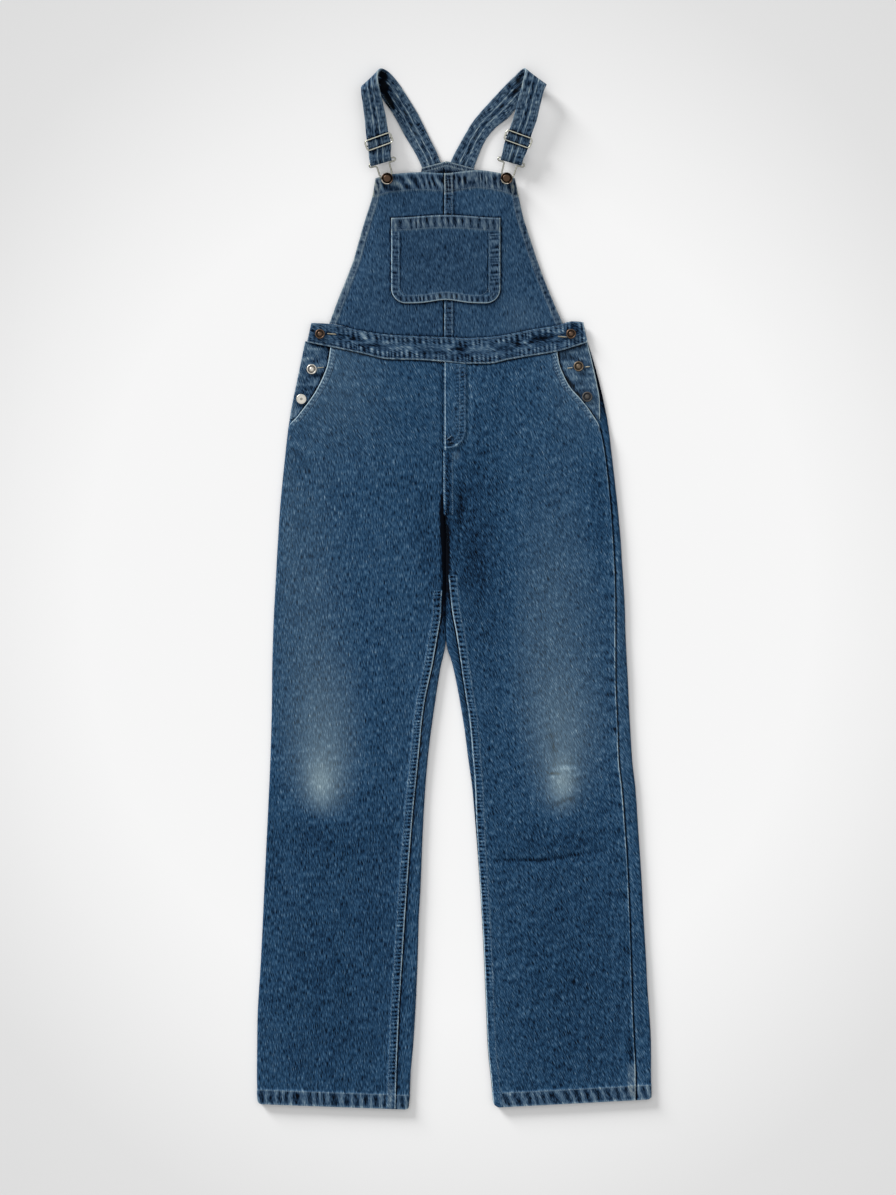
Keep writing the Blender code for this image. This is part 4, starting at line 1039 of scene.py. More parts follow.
def leg_front(side):
    """The front panel, from the waistband to the hem and from the pocket's edge to the inside leg."""
    hem_y = LEGS[side][1]
    levels = spaced((LEG_TOP, 1.6), (228, STEP), (hem_y + HEM_ZONE, FINE), (hem_y, 1))
    near_outer = spaced((0.9, 0.9), (3.6, 1.4), (12, 1), before=(0, 0.4))
    near_inner = spaced((2.4, 2.4), (15, 1), before=(0, 0.5, 1.2))
    panel = Panel(side, True, levels, near_outer, near_inner, 54)
    x, y, _ = panel.grid.transpose(2, 0, 1)
    marks = Marks(x.shape)
    mark_creases(marks, x, y, 1.0)
    mark_hem(marks, panel, side, 1.0)
    mark_waist_seam(marks, panel, 1.0)
    mark_pocket_edge(marks, panel, side)
    if side == "right":
        mark_side_seam(marks, panel, True)
    above_fork = ease((panel.level - FORK[1]) / 30)
    inner = panel.from_inner
    if side == "left":
        # painted shade in a line beside the centre seam, where the right half laps over
        marks.add(shade=above_fork * (0.85 * line(inner, 0.2, 1.3) + 0.12 * line(inner, 2, 4)))
        marks.add(bend=-0.3 * above_fork * line(inner, 0.0, 2.0))
    panel_shell(f"leg_front_{side}", panel, marks, hem_relief(side, panel.level), f"front_leg_{side}")
    top, bottom = POCKET_SEWN[side]
    rows = reached(-panel.level[:, 0], -spaced((top, 2), (bottom, 2)))
    for distance in (2.0, POCKET_EDGE):
        sew(f"leg_front_{side}", rows, reached(near_outer, distance))
    sew_across(f"leg_front_{side}", -panel.level, -(hem_y + HEM - 1.2))


# %% Back panels


def leg_back(side):
    """The back panel, which wraps round both folds. Only what lies on top gets marks."""
    hem_y = LEGS[side][1]
    levels = spaced((LEG_TOP, STEP), (hem_y + HEM_ZONE, FINE + 0.3), (hem_y, 1))
    near = spaced((1.0, 0.9), (7, 1.6), (22, 1), before=(0, 0.4))
    panel = Panel(side, False, levels, near, near, 38)
    x, y, z = panel.grid.transpose(2, 0, 1)
    upper = ease((z - 1.0) / 3.0)
    marks = Marks(x.shape)
    mark_creases(marks, x, y, upper)
    mark_hem(marks, panel, side, 0.35 + 0.65 * upper)
    marks.bend *= upper
    below_fork = 1 - ease((panel.level - FORK[1]) / 30)
    inner = panel.from_inner
    touching = ease((112 - panel.level) / 20) * ease((panel.level + 92) / 16) * ease((20 - inner) / 3)
    # where the two legs' folds touch at the fork they bend together, and the lower part gets painted shade
    marks.add(bend=0.46 * touching * line(z, 3.0, 2.6), shade=0.8 * touching * ease((4.6 - z) / 2))
    past = inner - column(FELL_PAST_SEAM[side], 1, panel.level)
    # painted shade in a line beside the felled edge
    edge = 1.5 * line(past, 0.0, 1.3) + 0.2 * line(past, 3, 3)
    marks.add(shade=below_fork * edge, fade=0.02 * below_fork)
    if side == "right":
        mark_side_seam(marks, panel, False)
    relief = hem_relief(side, panel.level) * ease(z / LEG_HEIGHT)
    panel_shell(f"leg_back_{side}", panel, marks, relief, f"back_leg_{side}")
    sew_across(f"leg_back_{side}", -panel.level, -(hem_y + HEM - 1.2))


for side in LEGS:
    leg_front(side)
    leg_back(side)

# %% [markdown]
# ## Felled seams
# The inside leg is closed with a flat-felled seam: both edges are folded into each other and sewn down
# with two rows. On top it is a band about 12 mm wide, bright along its folded edge and puckered every few
# millimetres. The puckers are finer than the panel's grid, so the band is its own strip with closer rows.

# %% Felled bands
FELL_THICK = 0.55
FELL_ROWS = (1.9, 10.9)  # the two rows of stitches, from the folded edge


def felled_band(name, side, top, bottom, seed, edge=1.15):
    """A strip along the front panel's inner seam, raised between its two rows of stitches."""
    levels = spaced((top, 1.0), (bottom, 1))
    near = spaced((0.9, 1.05), (FELL + 1.6, 1), before=(0, 0.35))
    panel = Panel(side, True, levels, np.array([0.0, 1.0]), near, 3, name != "centre_seam")
    keep = slice(panel.grid.shape[1] - len(near), None)
    grid, normals = panel.grid[:, keep], panel.normals[:, keep]
    off, run = panel.from_inner[:, keep], panel.level[:, keep]
    share = held(off / FELL)
    ridge = roping(run, share, 5.5 + 1.0 * ease((run + 260) / 200), 0.15, seed, 0.4)
    belly = hump((off - 0.6) / (FELL - 0.6), 0.6)
    profile = FELL_THICK * ease(off / 0.7 + 0.25) * ease((FELL + 1.6 - off) / 2.4)
    profile = profile - 0.12 * ease((off - FELL) / 1.4)
    rows = sum(line(off, r, 0.8) for r in FELL_ROWS)
    broken = 0.8 + 0.3 * cloud(run / 31, off / 9, seed)
    centre, left = name == "centre_seam", side == "left"
    marks = Marks(off.shape)
    mark_creases(marks, grid[..., 0], grid[..., 1], 1.0)
    low = ease((LEGS[side][1] + 44 - run) / 14) if left else ease((-540 - run) / 40)
    hollow = held(-ridge + 0.1) * (line(off, 4.3, 2.1) + 0.35 * line(off, 9.2, 1.5)) * (1 - 0.85 * low)
    halo = 0.24 * line(off, 11.4, 1.9) + 0.12 * line(off, 7.0, 2.0) + 0.3 * held(ridge) * belly
    flat = low * line(off, 8.0, 5.0) * left
    halo = halo * (1 - 0.5 * low) + 0.3 * flat
    marks.add(
        bend=0.2 * ridge * belly * (1 - 0.7 * low) - 0.12 * rows,
        wear=broken * (edge * line(off, 0.7, 0.6) + (0.3 if centre else 1.0) * halo),
        shade=0.35 * hollow + 0.4 * line(off, 5.4, 3.4) if centre else 1.5 * hollow,
        grey=0.12 * flat,
    )
    end = ease((run - run.min()) / 1.5) * ease((run.max() - run) / 1.5)
    hem = hem_relief(side, run)
    outer = grid + normals * (marks.bend + hem + profile * (0.3 + 0.7 * end))[..., None]
    inner = grid + normals * (marks.bend * 0.3 + hem - 0.3)[..., None]
    shell(name, outer, inner, panel.uv[:, keep], marks, DENIM, 0.0, normals=normals)
    for distance in FELL_ROWS:
        sew_down(name, -off, -distance)


felled_band("inseam_left", "left", -2, LEGS["left"][1], 31)
felled_band("inseam_right", "right", 20, LEGS["right"][1], 32)
felled_band("centre_seam", "right", 194, 104, 33, 0.8)

# %% [markdown]
# ## Waistband
# The waistband is a folded strip, sewn on both edges, so it ropes twice. It is made from its two edge
# curves: each row of the grid lies at a share of the way between them.

# %% Waistband, front and back
WAISTBAND = 2.4
WAIST_LEAN = 6.0
FRONT_LAYER = LEG_HEIGHT - CLOTH


def rounded(distance, radius):
    """How far a folded edge drops: a quarter circle within its radius of the edge."""
    inside = np.clip(radius - distance, 0, radius)
    return radius - np.sqrt(radius**2 - inside**2)


def waistband(front):
    """A folded strip: each row lies at a share of the way from the lower edge to the upper one."""
    table = WAIST if front else BACK_WAIST
    base = FRONT_LAYER if front else 0.0
    left, right = table[0][0], table[-1][0]
    along = spaced((0, 0.0008), (0.004, 0.0034 if front else 0.008), (0.996, 0.0008), (1, 1))[None]
    between = spaced((0.07, 0.045 if front else 0.09), (0.93, 1))
    share = np.concatenate([[0, 0.012, 0.035], between, [0.965, 0.988, 1]])[::-1, None]
    x = left + (right - left) * along + WAIST_LEAN * share * (1 - 2 * along)
    low = waist_edge(x, LOWER, front)
    height = waist_edge(x, UPPER, front) - low
    y = low + height * share
    off_low, off_top = share * height, (1 - share) * height
    off_end = np.minimum(along, 1 - along) * (right - left)
    rise = CROWN * hump(along) * front
    marks = Marks(x.shape)
    foot = roping(x, share, 6.4, 0.5, 41, 0.7) * line(off_low, 7.0, 5.6)
    head = roping(x, share, 7.2, 0.8, 42, 0.9) * line(off_top, 7.0, 5.6)
    dents = cloud(x / 9, y / 5, 43) * line(share, 0.5, 0.35)
    calm = 1 - 0.55 * ease((-150 - x) / 25)
    ridge = (foot + head + 0.85 * dents) * calm * (0.8 + 0.35 * cloud(x / 17, y / 9, 45))
    marks.add(
        bend=0.42 * ridge * front,
        wear=0.7 * held(ridge) + 0.75 * line(off_low, 1.0, 0.8),
        shade=0.85 * held(-ridge) + 0.3 * line(off_low, 3.2, 0.9),
        fade=0.03 * cloud(x / 40, y / 15, 44) - 0.07,
        grey=0.08,
    )
    marks.add(wear=0.16 * line(off_top, 1.0, 1.6) + (0.25 + 0.35 * (x > 0)) * line(off_end, 1.0, 1.2))
    drop = rounded(np.minimum(np.minimum(off_low, off_top), off_end), 0.8)
    if front:
        mark_buttonhole_folds(marks, x, y)
    high = base + WAISTBAND + rise - drop + marks.bend
    name, node = ("waistband", "waistband_front") if front else ("waistband_inside", "waistband_back")
    laid(name, x, y, high, base + rise, marks, node, DENIM, 0.0, stacked(y, x))
    if front:
        sew_across(name, off_top, 2.4, 3, -3)
        sew_across(name, -off_low, -2.2, 3, -3)


# The folds that run inwards from each end's button: dips with painted shade and pale ridges, as in FOLDS
BUTTONHOLE_DIPS = ((-180, 362, -128, 352, 3.0, 1.0), (154, 360, 112, 354, 3.0, 0.8))
BUTTONHOLE_RIDGES = ((-180, 359, -150, 357, 3.0, 0.6), (150, 364, 128, 366, 3.0, 0.4))


def mark_buttonhole_folds(marks, x, y):
    """The folds that the buttons pull into the waistband, with painted shade in the dips."""
    dip, ridge = fold_height(x, y, BUTTONHOLE_DIPS), fold_height(x, y, BUTTONHOLE_RIDGES)
    marks.add(bend=0.4 * (ridge - dip), shade=0.8 * dip, wear=0.4 * ridge)


waistband(True)
waistband(False)

# %% [markdown]
# ## The bib
# The bib is two halves joined by a felled seam down its middle. Its top and sides are turned in and sewn,
# which makes them thicker. It lies over the straps' ends, so its underside rises towards the top and its
# side edges droop. The height comes from one function, because the pocket lies on the same surface.

# %% Sizes of the bib
# y, then the bib's left and right edge
BIB = (
    (376, -177.5, 154),
    (411, -165.3, 139.8),
    (444, -153, 127),
    (473, -142.6, 116.6),
    (505, -133.6, 106.2),
    (532, -125.2, 97.4),
    (561, -116, 90.8),
    (584, -112, 85.8),
)
# x, then the y of the bib's top edge
BIB_TOP = (
    (-112, 582.5),
    (-85, 588.6),
    (-47, 591),
    (-14, 589.6),
    (11, 592),
    (32, 594),
    (63, 590),
    (86, 582.5),
)
# The same as BIB for the back of the bib, which narrows to the straps
BACK_BIB = (
    (380, -150, 124),
    (440, -112, 88),
    (500, -78, 56),
    (560, -54, 34),
    (597, -46.3, 27.8),
)
BIB_HEM = 26.0
BIB_SIDE_HEM = 10.0
BIB_TOP_BASE = 5.8
BIB_LEAN = 0.14  # how far its warp leans to the side with each mm of height
NEAR_HEM = spaced((0.9, 1.0), (3, 1.35), (12.4, 1), before=(0, 0.35))
NEAR_FELL = spaced((1.1, 1.25), (14.6, 1), before=(0, 0.4))


def bib_base(x, y):
    """The underside of the front bib: it rises over the straps' ends, and its side edges droop."""
    rise = (BIB_TOP_BASE - FRONT_LAYER) * ease((y - 400) / 145)
    edge = np.minimum(x - column(BIB, 1, y), column(BIB, 2, y) - x)
    droop = 2.8 * (1 - ease(edge / 30)) * hump((y - 380) / 195)
    return FRONT_LAYER + rise - droop


def bib_y(x, share):
    """The y at a share of the bib's height: the waistband's upper edge at 0 and the bib's top at 1."""
    low = column(WAIST, UPPER, x) + SEAM_GAP
    return low + (column(BIB_TOP, 1, x) - low) * share


# %% The pocket's outline
POCKET_LEFT, POCKET_RIGHT = -89.5, 65.0
POCKET_TOP, POCKET_LOWER = 526.0, 405.0
POCKET_RISE = 4.0
POCKET_NOTCH = 5.0
POCKET_CORNER = 21.0


def pocket_edges(x):
    """The y of the pocket's lower edge and of its mouth. Both bow up at the middle."""
    share = (x - POCKET_LEFT) / (POCKET_RIGHT - POCKET_LEFT)
    low = POCKET_LOWER + POCKET_NOTCH * line(share, 0.5, 0.16)
    return low, POCKET_TOP + POCKET_RISE * hump(share, 2)


def inside_pocket(x, y, with_mouth=True):
    """How far a place lies inside the pocket's outline with its round lower corners, below zero outside."""
    low, top = pocket_edges(x)
    from_side, from_low = np.minimum(x - POCKET_LEFT, POCKET_RIGHT - x), y - low
    in_corner = (from_side < POCKET_CORNER) & (from_low < POCKET_CORNER)
    to_corner = POCKET_CORNER - np.hypot(POCKET_CORNER - from_side, POCKET_CORNER - from_low)
    edge = np.where(in_corner, to_corner, np.minimum(from_side, from_low))
    return np.minimum(edge, top - y) if with_mouth else edge


# %% Marks on the bib
# For each half: the top hem's spacing, lean and seed, and how mottled, dark, hollow and grey it is
BIB_HEMS = {"left": (13.0, -1.1, 51, 0.12, 0.1, 0.7, 0.1), "right": (8.5, -0.25, 52, 0.3, 0.16, 0.55, 0.16)}


def mark_bib(marks, x, y, side, off_side, off_middle, off_top, hem):
    """The roped top hem, the mottled side hem, and the felled seam in the middle, with painted shade beside
    it.
    """
    left = side == "left"
    share = held(off_top / hem)
    spacing, lean, seed, mottled, dark, hollow, grey = BIB_HEMS[side]
    ridge = roping(x, share, spacing, lean, seed, 0.9)
    belly = hump((off_top - 0.6) / hem, 0.7)
    worn = 0.8 * held(ridge - 0.1) + mottled * cloud(x / 5, y / 6, 50)
    marks.add(
        bend=0.4 * ridge * belly,
        wear=worn * belly + 0.45 * line(off_top, 0.8, 1.6),
        shade=(dark + hollow * held(-ridge)) * belly,
        grey=grey * ease((hem + 0.5 - off_top) / 2),
    )
    dashes = 0.7 + 0.3 * np.cos(2 * math.pi * x / 3.4)
    marks.add(wear=0.4 * line(off_top, hem - 0.4, 1.5) * dashes)
    drag = pulled(x, off_top - hem, 6.5, 6, seed + 3)
    marks.add(bend=0.12 * drag, wear=0.08 * drag)
    beside = ease((BIB_SIDE_HEM + 0.5 - off_side) / 1.5)
    pucker = roping(y, off_side / BIB_SIDE_HEM, 6.5, 0.5, seed + 3) * hump(off_side / BIB_SIDE_HEM)
    marks.add(
        bend=0.16 * pucker * beside,
        wear=beside * (0.14 * left + 0.2 * cloud(x / 4, y / 7, 56) + 0.14 * held(pucker)),
        shade=beside * 0.45 * held(-pucker),
        grey=0.14 * beside,
    )
    marks.add(wear=0.35 * line(off_side, 0.5, 1.0) + 0.2 * line(off_side, BIB_SIDE_HEM - 1.4, 1.0))
    if left:
        # painted shade in a line beside the centre seam
        marks.add(shade=1.1 * line(off_middle, 0.2, 1.5))
        return
    ridge = roping(y, off_middle / FELL, 5.4, 0.2, 57)
    belly = hump((off_middle - 0.8) / FELL, 0.6)
    under = 1 - 0.75 * ease((y - 402) / 8) * ease((530 - y) / 8)
    marks.add(
        bend=under * 0.14 * ridge * belly,
        wear=under * (0.62 * line(off_middle, 0.7, 0.75) + 0.5 * line(off_middle, FELL - 0.6, 1.0)),
        # the hollows, and painted shade in a line just outside the felled band
        shade=under * (0.95 * held(-ridge) * belly + 0.6 * line(off_middle, FELL + 1.4, 1.0)),
        fade=0.03 * ease((off_middle - FELL) / 10),
        grey=under * 0.06 * belly,
    )


# %% Make the two halves


def bib_half(side):
    """Half of the bib, from its side edge to the middle: each row is a share of the bib's height."""
    share = spaced((1, 0.0062), (0.86, 0.0092), (0, 1))[:, None]
    own = 1 if side == "left" else 2
    edge = column(BIB, own, BIB[0][0] + share * (BIB[-1][0] - BIB[0][0]))
    middle = np.full(share.shape, CENTRE - 0.15 if side == "left" else CENTRE + 0.15)
    x = across(edge, NEAR_HEM, middle, NEAR_FELL, 46)
    y = bib_y(x, share)
    off_side, off_middle = np.abs(x - edge), np.abs(x - middle)
    off_top = column(BIB_TOP, 1, x) - y
    hem = BIB_HEM + 3.5 * line(off_middle, 0, 20) * (side == "right")
    marks = Marks(x.shape)
    mark_bib(marks, x, y, side, off_side, off_middle, off_top, hem)
    outside = -inside_pocket(x, y)
    marks.add(
        bend=0.2 * cloud(x / 26, y / 40, 58) + 0.1 * cloud(x / 11, y / 16, 59),
        # painted shade in a line just outside the pocket's edge and just above the waistband
        shade=0.7 * line(outside, 0.8, 1.5) + 0.6 * line(y - column(WAIST, UPPER, x), 0.6, 1.6),
        fade=0.035 * cloud(x / 45, y / 55, 60) - 0.02,
        grey=0.05,
    )
    side_thick = 0.5 * ease((BIB_SIDE_HEM + 0.8 - off_side) / 1.4)
    if side == "right":
        side_thick = np.maximum(side_thick, 0.5 * ease((FELL + 1.2 - off_middle) / 1.4))
    thick = np.maximum(0.8 * ease((BIB_HEM + 0.5 - off_top) / 1.4), side_thick)
    drop = rounded(np.minimum(off_side, off_top), 0.8) + 0.3 * line(off_middle, 0.0, 1.0)
    base = bib_base(x, y)
    high = base + CLOTH + thick - drop + marks.bend
    low = base + np.clip(marks.bend, None, 0)
    name, uv = f"bib_front_{side}", stacked(x - BIB_LEAN * y, y)
    laid(name, x, y, high, low, marks, f"bib_{side}", BIB_DENIM, uv=uv)
    sew_across(name, off_top, BIB_HEM - 1.4, 2, -2)
    sew_down(name, off_side, BIB_SIDE_HEM - 1.2, 4, -1)
    for distance in (2.6, FELL - 1.8) if side == "right" else ():
        sew_down(name, -off_middle, -distance)


for side in LEGS:
    bib_half(side)

# %% The back of the bib and its facing
YOKE_PEAK, YOKE_SHOULDER, YOKE_LOWER = 607.0, 597.0, 562.0
YOKE_LEFT, YOKE_RIGHT = -46.3, 27.8
YOKE_BASE = 4.3
YOKE = 1.2
YOKE_ROWS = (2.0, 6.5)  # from its upper edge to its stitches
PEAK_X = (YOKE_LEFT + YOKE_RIGHT) / 2 - 1.7


def yoke_top(x):
    """The yoke's upper edge: two straight slopes from the point to the shoulders."""
    half = (YOKE_RIGHT - YOKE_LEFT) / 2
    return YOKE_PEAK - (YOKE_PEAK - YOKE_SHOULDER) * held(np.abs(x - PEAK_X) / half)


def bib_back():
    """The back of the bib: each row is a share of the way from the waistband to the yoke's top."""
    share = spaced((1, 0.03), (0, 1))[:, None]
    bottom, top = BACK_BIB[0][0], BACK_BIB[-1][0]
    y_level = bottom + share * (top - bottom)
    left, right = column(BACK_BIB, 1, y_level), column(BACK_BIB, 2, y_level)
    near = np.array([0, 0.6, 2.0])
    x = across(left, near, right, near, 38)
    low = waist_edge(x, UPPER, False) + SEAM_GAP
    y = low + (yoke_top(x) - low) * share
    laid("back_of_bib", x, y, YOKE, 0.0, Marks(x.shape), "bib_back", DENIM)


def yoke():
    """The facing inside the back of the bib, the same way, with its roped and stitched upper edge."""
    share = spaced((1, 0.024), (0, 1))[:, None]
    left, right = YOKE_LEFT - 2 * (1 - share), YOKE_RIGHT + 2 * (1 - share)
    near = np.array([0, 0.4, 1.2])
    x = across(left, near, right, near, 54)
    y = YOKE_LOWER + (yoke_top(x) - YOKE_LOWER) * share
    off_top = yoke_top(x) - y
    ridge = roping(x, off_top / 9, 4.6, 0.3, 71) * hump(off_top / 9)
    marks = Marks(x.shape)
    marks.add(
        bend=0.14 * ridge - 0.15 * line(x, CENTRE, 1.2),
        wear=0.65 * line(off_top, 0.6, 1.0) + 0.5 * line(off_top, YOKE_ROWS[1], 1.0)
        + 0.45 * line(x, CENTRE + 1.6, 0.9),
        # painted shade in the centre seam's dip
        shade=0.5 * held(-ridge) + 0.7 * line(x, CENTRE, 0.9) + 0.9 * ease((off_top - 9) / 6),
        fade=0.04 * cloud(x / 9, y / 9, 72) - 0.08,
        grey=0.26,
    )
    high = YOKE_BASE + YOKE + marks.bend - rounded(off_top, 0.6)
    laid("yoke", x, y, high, YOKE_BASE, marks, "yoke_facing", DENIM, 0.0)
    for distance in YOKE_ROWS:
        sew_across("yoke", off_top, distance)


bib_back()
yoke()

# %% [markdown]
# ## The pocket on the bib
# A patch pocket keeps a bright line round its edge, where its folded seam allowance was rubbed, and a row
# of dark hollows between that line and the stitching. Its grid has even rows in the middle and close rows
# in the round corners, so no trimming is needed. The distance to the rounded outline drives all its
# marks.

# %% Make the pocket
POCKET_HEM = 18.5
POCKET_RELIEF = 0.5
POCKET_BASE = 0.9
POCKET_SEAM = 10.6  # from the lower edge to the stitches
POCKET_BANDS = (10.8, 15.6)  # the same from the left and the right edge
POCKET_TURN = 17.0  # the radius of the stitches round a lower corner


def pocket_marks(x, y, edge, off_top):
    """A bright line round the edge, hollows between it and the stitches, and the roped mouth."""
    from_side, from_low = np.minimum(x - POCKET_LEFT, POCKET_RIGHT - x), y - pocket_edges(x)[0]
    marks = Marks(x.shape)
    run = np.where(from_side < from_low, y, x)
    toward_low = ease((from_side - from_low) / 12 + 0.5)
    band = np.where(x < -12, *POCKET_BANDS) * (1 - toward_low) + POCKET_SEAM * toward_low
    ridge = roping(run, edge / band, 6.2 + 1.0 * toward_low, 0.2, 61, 0.7 - 0.2 * toward_low)
    lower = ease((off_top - POCKET_HEM) / 4)
    belly = hump(edge / band, 0.7) * lower * (0.75 + 0.4 * cloud(x / 7, y / 9, 66))
    outline = 0.95 + 0.4 * ease((30 - from_low) / 25)
    marks.add(
        bend=0.2 * ridge * belly,
        wear=(0.5 + 0.25 * toward_low) * held(ridge) * belly
        + outline * line(edge, 0.5, 0.7)
        + 0.36 * lower * line(edge, band, 1.0),
        shade=(0.85 + 0.3 * toward_low) * held(-ridge + 0.15) * belly
        + 0.6 * (1 - toward_low) * lower * line(edge, band + 2.2, 1.0),
        grey=(0.06 + 0.06 * lower * ease((band - edge) / 2)) * (1 - 0.9 * line(edge, 0.4, 1.3)),
    )
    share_up = held(off_top / POCKET_HEM)
    bars = roping(x, share_up, 11.0, -0.2, 62, 0.9) + 0.35 * cloud(x / 4, y / 6, 67)
    belly = hump(share_up, 0.6)
    marks.add(
        bend=0.3 * bars * belly,
        wear=0.46 * held(bars) * belly + 0.5 * line(off_top, 0.5, 0.9)
        + 0.3 * line(off_top, POCKET_HEM, 1.3),
        shade=0.85 * held(-bars - 0.1) * belly,
        grey=0.13 * ease((POCKET_HEM + 0.5 - off_top) / 2),
    )
    drag = pulled(x, off_top - POCKET_HEM, 7.0, 6, 63)
    marks.add(
        bend=0.1 * drag + 0.14 * cloud(x / 22, y / 30, 64),
        wear=0.07 * drag,
        fade=0.1 * line(x, -12, 34) * line(from_low, 5, 6) + 0.025 * cloud(x / 30, y / 30, 65) - 0.05,
    )
    return marks


def bib_pocket():
    """The patch pocket: rows from the mouth down, drawn in at the lower corners by a quarter circle."""
    height = POCKET_TOP - POCKET_LOWER
    corner = POCKET_CORNER * (1 - np.cos(np.linspace(math.pi / 2, 0, 17))) / height
    share = np.concatenate([spaced((1, 0.0115), (0.83, 0.0135), (corner[0], 1)), corner[1:]])[:, None]
    low_part = np.clip(POCKET_CORNER - share * height, 0, None)
    inset = POCKET_CORNER - np.sqrt(POCKET_CORNER**2 - low_part**2)
    near = spaced((0.9, 1.0), (3, 1.3), (19, 1), before=(0, 0.35))
    x = across(POCKET_LEFT + inset, near, POCKET_RIGHT - inset, near, 110)
    low, top = pocket_edges(x)
    y = low + (top - low) * share
    edge = np.clip(inside_pocket(x, y, False), 0, None)
    off_top = top - y
    marks = pocket_marks(x, y, edge, off_top)
    thick = CLOTH - 0.1 + POCKET_RELIEF * ease((POCKET_HEM + 0.3 - off_top) / 1.3)
    base = bib_base(x, y) + CLOTH + POCKET_BASE
    drop = rounded(np.minimum(edge, off_top), 0.9)
    high = base + thick - drop + marks.bend
    tucked = base - 0.5 * held(1 - edge / 2.5) ** 0.5
    uv = stacked(x - BIB_LEAN * y, y)
    laid("pocket", x, y, high, tucked, marks, "bib_pocket", BIB_DENIM, uv=uv)
    for distance in (POCKET_HEM - 1.2, 2.2):
        sew_across("pocket", off_top, distance)
    sew_outline()


# %% The pocket's outline in stitches


def sew_outline():
    """Two rows of stitches down one side, round the corners and up the other, set in from the edge."""
    for left_in, right_in, low_in in ((1.9, 1.9, 1.9), (*POCKET_BANDS, POCKET_SEAM)):
        left, right, low_y = POCKET_LEFT + left_in, POCKET_RIGHT - right_in, POCKET_LOWER + low_in
        radius = POCKET_TURN
        turn = np.linspace(0, math.pi / 2, 12)
        side = np.linspace(POCKET_TOP - 3, low_y + radius, 40)
        low = np.linspace(left + radius, right - radius, 50)[1:-1]
        corner_y = low_y + radius * (1 - np.sin(turn))
        corners = (left + radius * (1 - np.cos(turn)), (right - radius * (1 - np.cos(turn)))[::-1])
        px = np.concatenate([np.full(40, left), corners[0], low, corners[1], np.full(40, right)])
        py = np.concatenate([side, corner_y, pocket_edges(low)[0] + low_in, corner_y[::-1], side[::-1]])
        pz = bib_base(px, py) + CLOTH + POCKET_BASE + CLOTH - 0.1
        sew_flat("pocket", px, py, pz)


bib_pocket()

# %% [markdown]
# ## The mock fly and the side openings
# The fly is a strip with two J-shaped rows of stitches. At each hip the pocket's facing shows beside the
# pocket's edge, with two buttons on it. The facings lie low, under the front panel.

# %% Make the fly
FLY_LEFT, FLY_WIDTH, FLY_LENGTH = CENTRE + 0.9, 31.0, 124.0
FLY_FOOT = 0.74
FLY = 0.9
FLY_ROWS = (2.6, 9.8)  # from its free edge to the two rows of stitches
# y, then the x of the right facing's free edge, from the waistband down
PLACKET = ((350, 188.5), (319, 196.0), (293, 202.0), (267, 206.2), (245, 206.6), (236, 205.0))
FACING_TOP = 4.4
FACING = 1.2


def fly_base(x, y):
    """The fly's underside: the front panel's top face with its crown and folds, and the seam's gap."""
    z = np.full(np.broadcast(x, y).shape, LEG_HEIGHT)
    return z + lift(x, y, z, CENTRE, 230.0) + SEAM_GAP + 0.15


def fly():
    """A strip as wide as its foot allows: below the straight part its edge is a quarter ellipse."""
    foot_rows = FLY_FOOT + (1 - FLY_FOOT) * np.sin(np.linspace(0, math.pi / 2, 20))
    share = np.concatenate([spaced((0, 0.0125), (FLY_FOOT, 1)), foot_rows[1:]])[:, None]
    foot = np.clip((share - FLY_FOOT) / (1 - FLY_FOOT), 0, None)
    width = FLY_WIDTH * np.sqrt(np.maximum(1 - foot**2, 0.04))
    left = np.full(share.shape, FLY_LEFT)
    near = np.array([0, 0.4, 0.9, 1.6])
    x = across(left, near, left + width, near, 24)
    y = column(WAIST, LOWER, x) - 0.6 - share * FLY_LENGTH
    corner = np.hypot(np.clip(share - FLY_FOOT, 0, None) * FLY_LENGTH, x - left)
    straight = left + FLY_WIDTH - x
    off = np.where(share > FLY_FOOT, np.minimum(FLY_WIDTH - corner, (1 - share) * FLY_LENGTH), straight)
    off = np.clip(off, 0, None)
    marks = Marks(x.shape)
    ridge = roping(y, off / FLY_ROWS[1], 5.0, 0.3, 81)
    belly = line(off, 6.2, 2.6) + 0.6 * line(off, 13.6, 2.4)
    worn = 0.12 + 0.4 * ease((216 - y) / 14)
    marks.add(
        bend=0.16 * ridge * belly,
        wear=0.2 * held(ridge) * belly + worn * (line(off, FLY_ROWS[0], 1.2) + line(off, FLY_ROWS[1], 1.4)),
        shade=0.75 * held(-ridge + 0.2) * belly,
        fade=0.03 * cloud(x / 10, y / 20, 82),
    )
    marks.add(wear=0.9 * line(x - left, 0.4, 0.65), shade=0.9 * line(x, -6.5, 4.5) * line(y, 208, 8))
    drop = rounded(np.minimum(off, x - left), 0.5)
    base = fly_base(x, y)
    laid("mock_fly", x, y, base + FLY + marks.bend - drop, base, marks, "fly", DENIM, 0.0)
    for inset in FLY_ROWS:
        down = np.linspace(0.03, FLY_FOOT, 40)
        turn = np.linspace(0, math.radians(80), 20)[1:]
        px = FLY_LEFT + (FLY_WIDTH - inset) * np.concatenate([np.ones(40), np.cos(turn)])
        reach = (1 - FLY_FOOT) * FLY_LENGTH - inset
        top = column(WAIST, LOWER, px) - 0.6
        py = top - np.concatenate([down * FLY_LENGTH, FLY_FOOT * FLY_LENGTH + reach * np.sin(turn)])
        sew_flat("mock_fly", px, py, fly_base(px, py) + FLY)


fly()

# %% The facings under the pockets' edges
HIP_BUTTONS = {
    "left": {"upper": (-202.4, 311.7), "lower": (-217.0, 269.4)},
    "right": {"upper": (176.1, 315.8), "lower": (188.4, 272.6)},
}


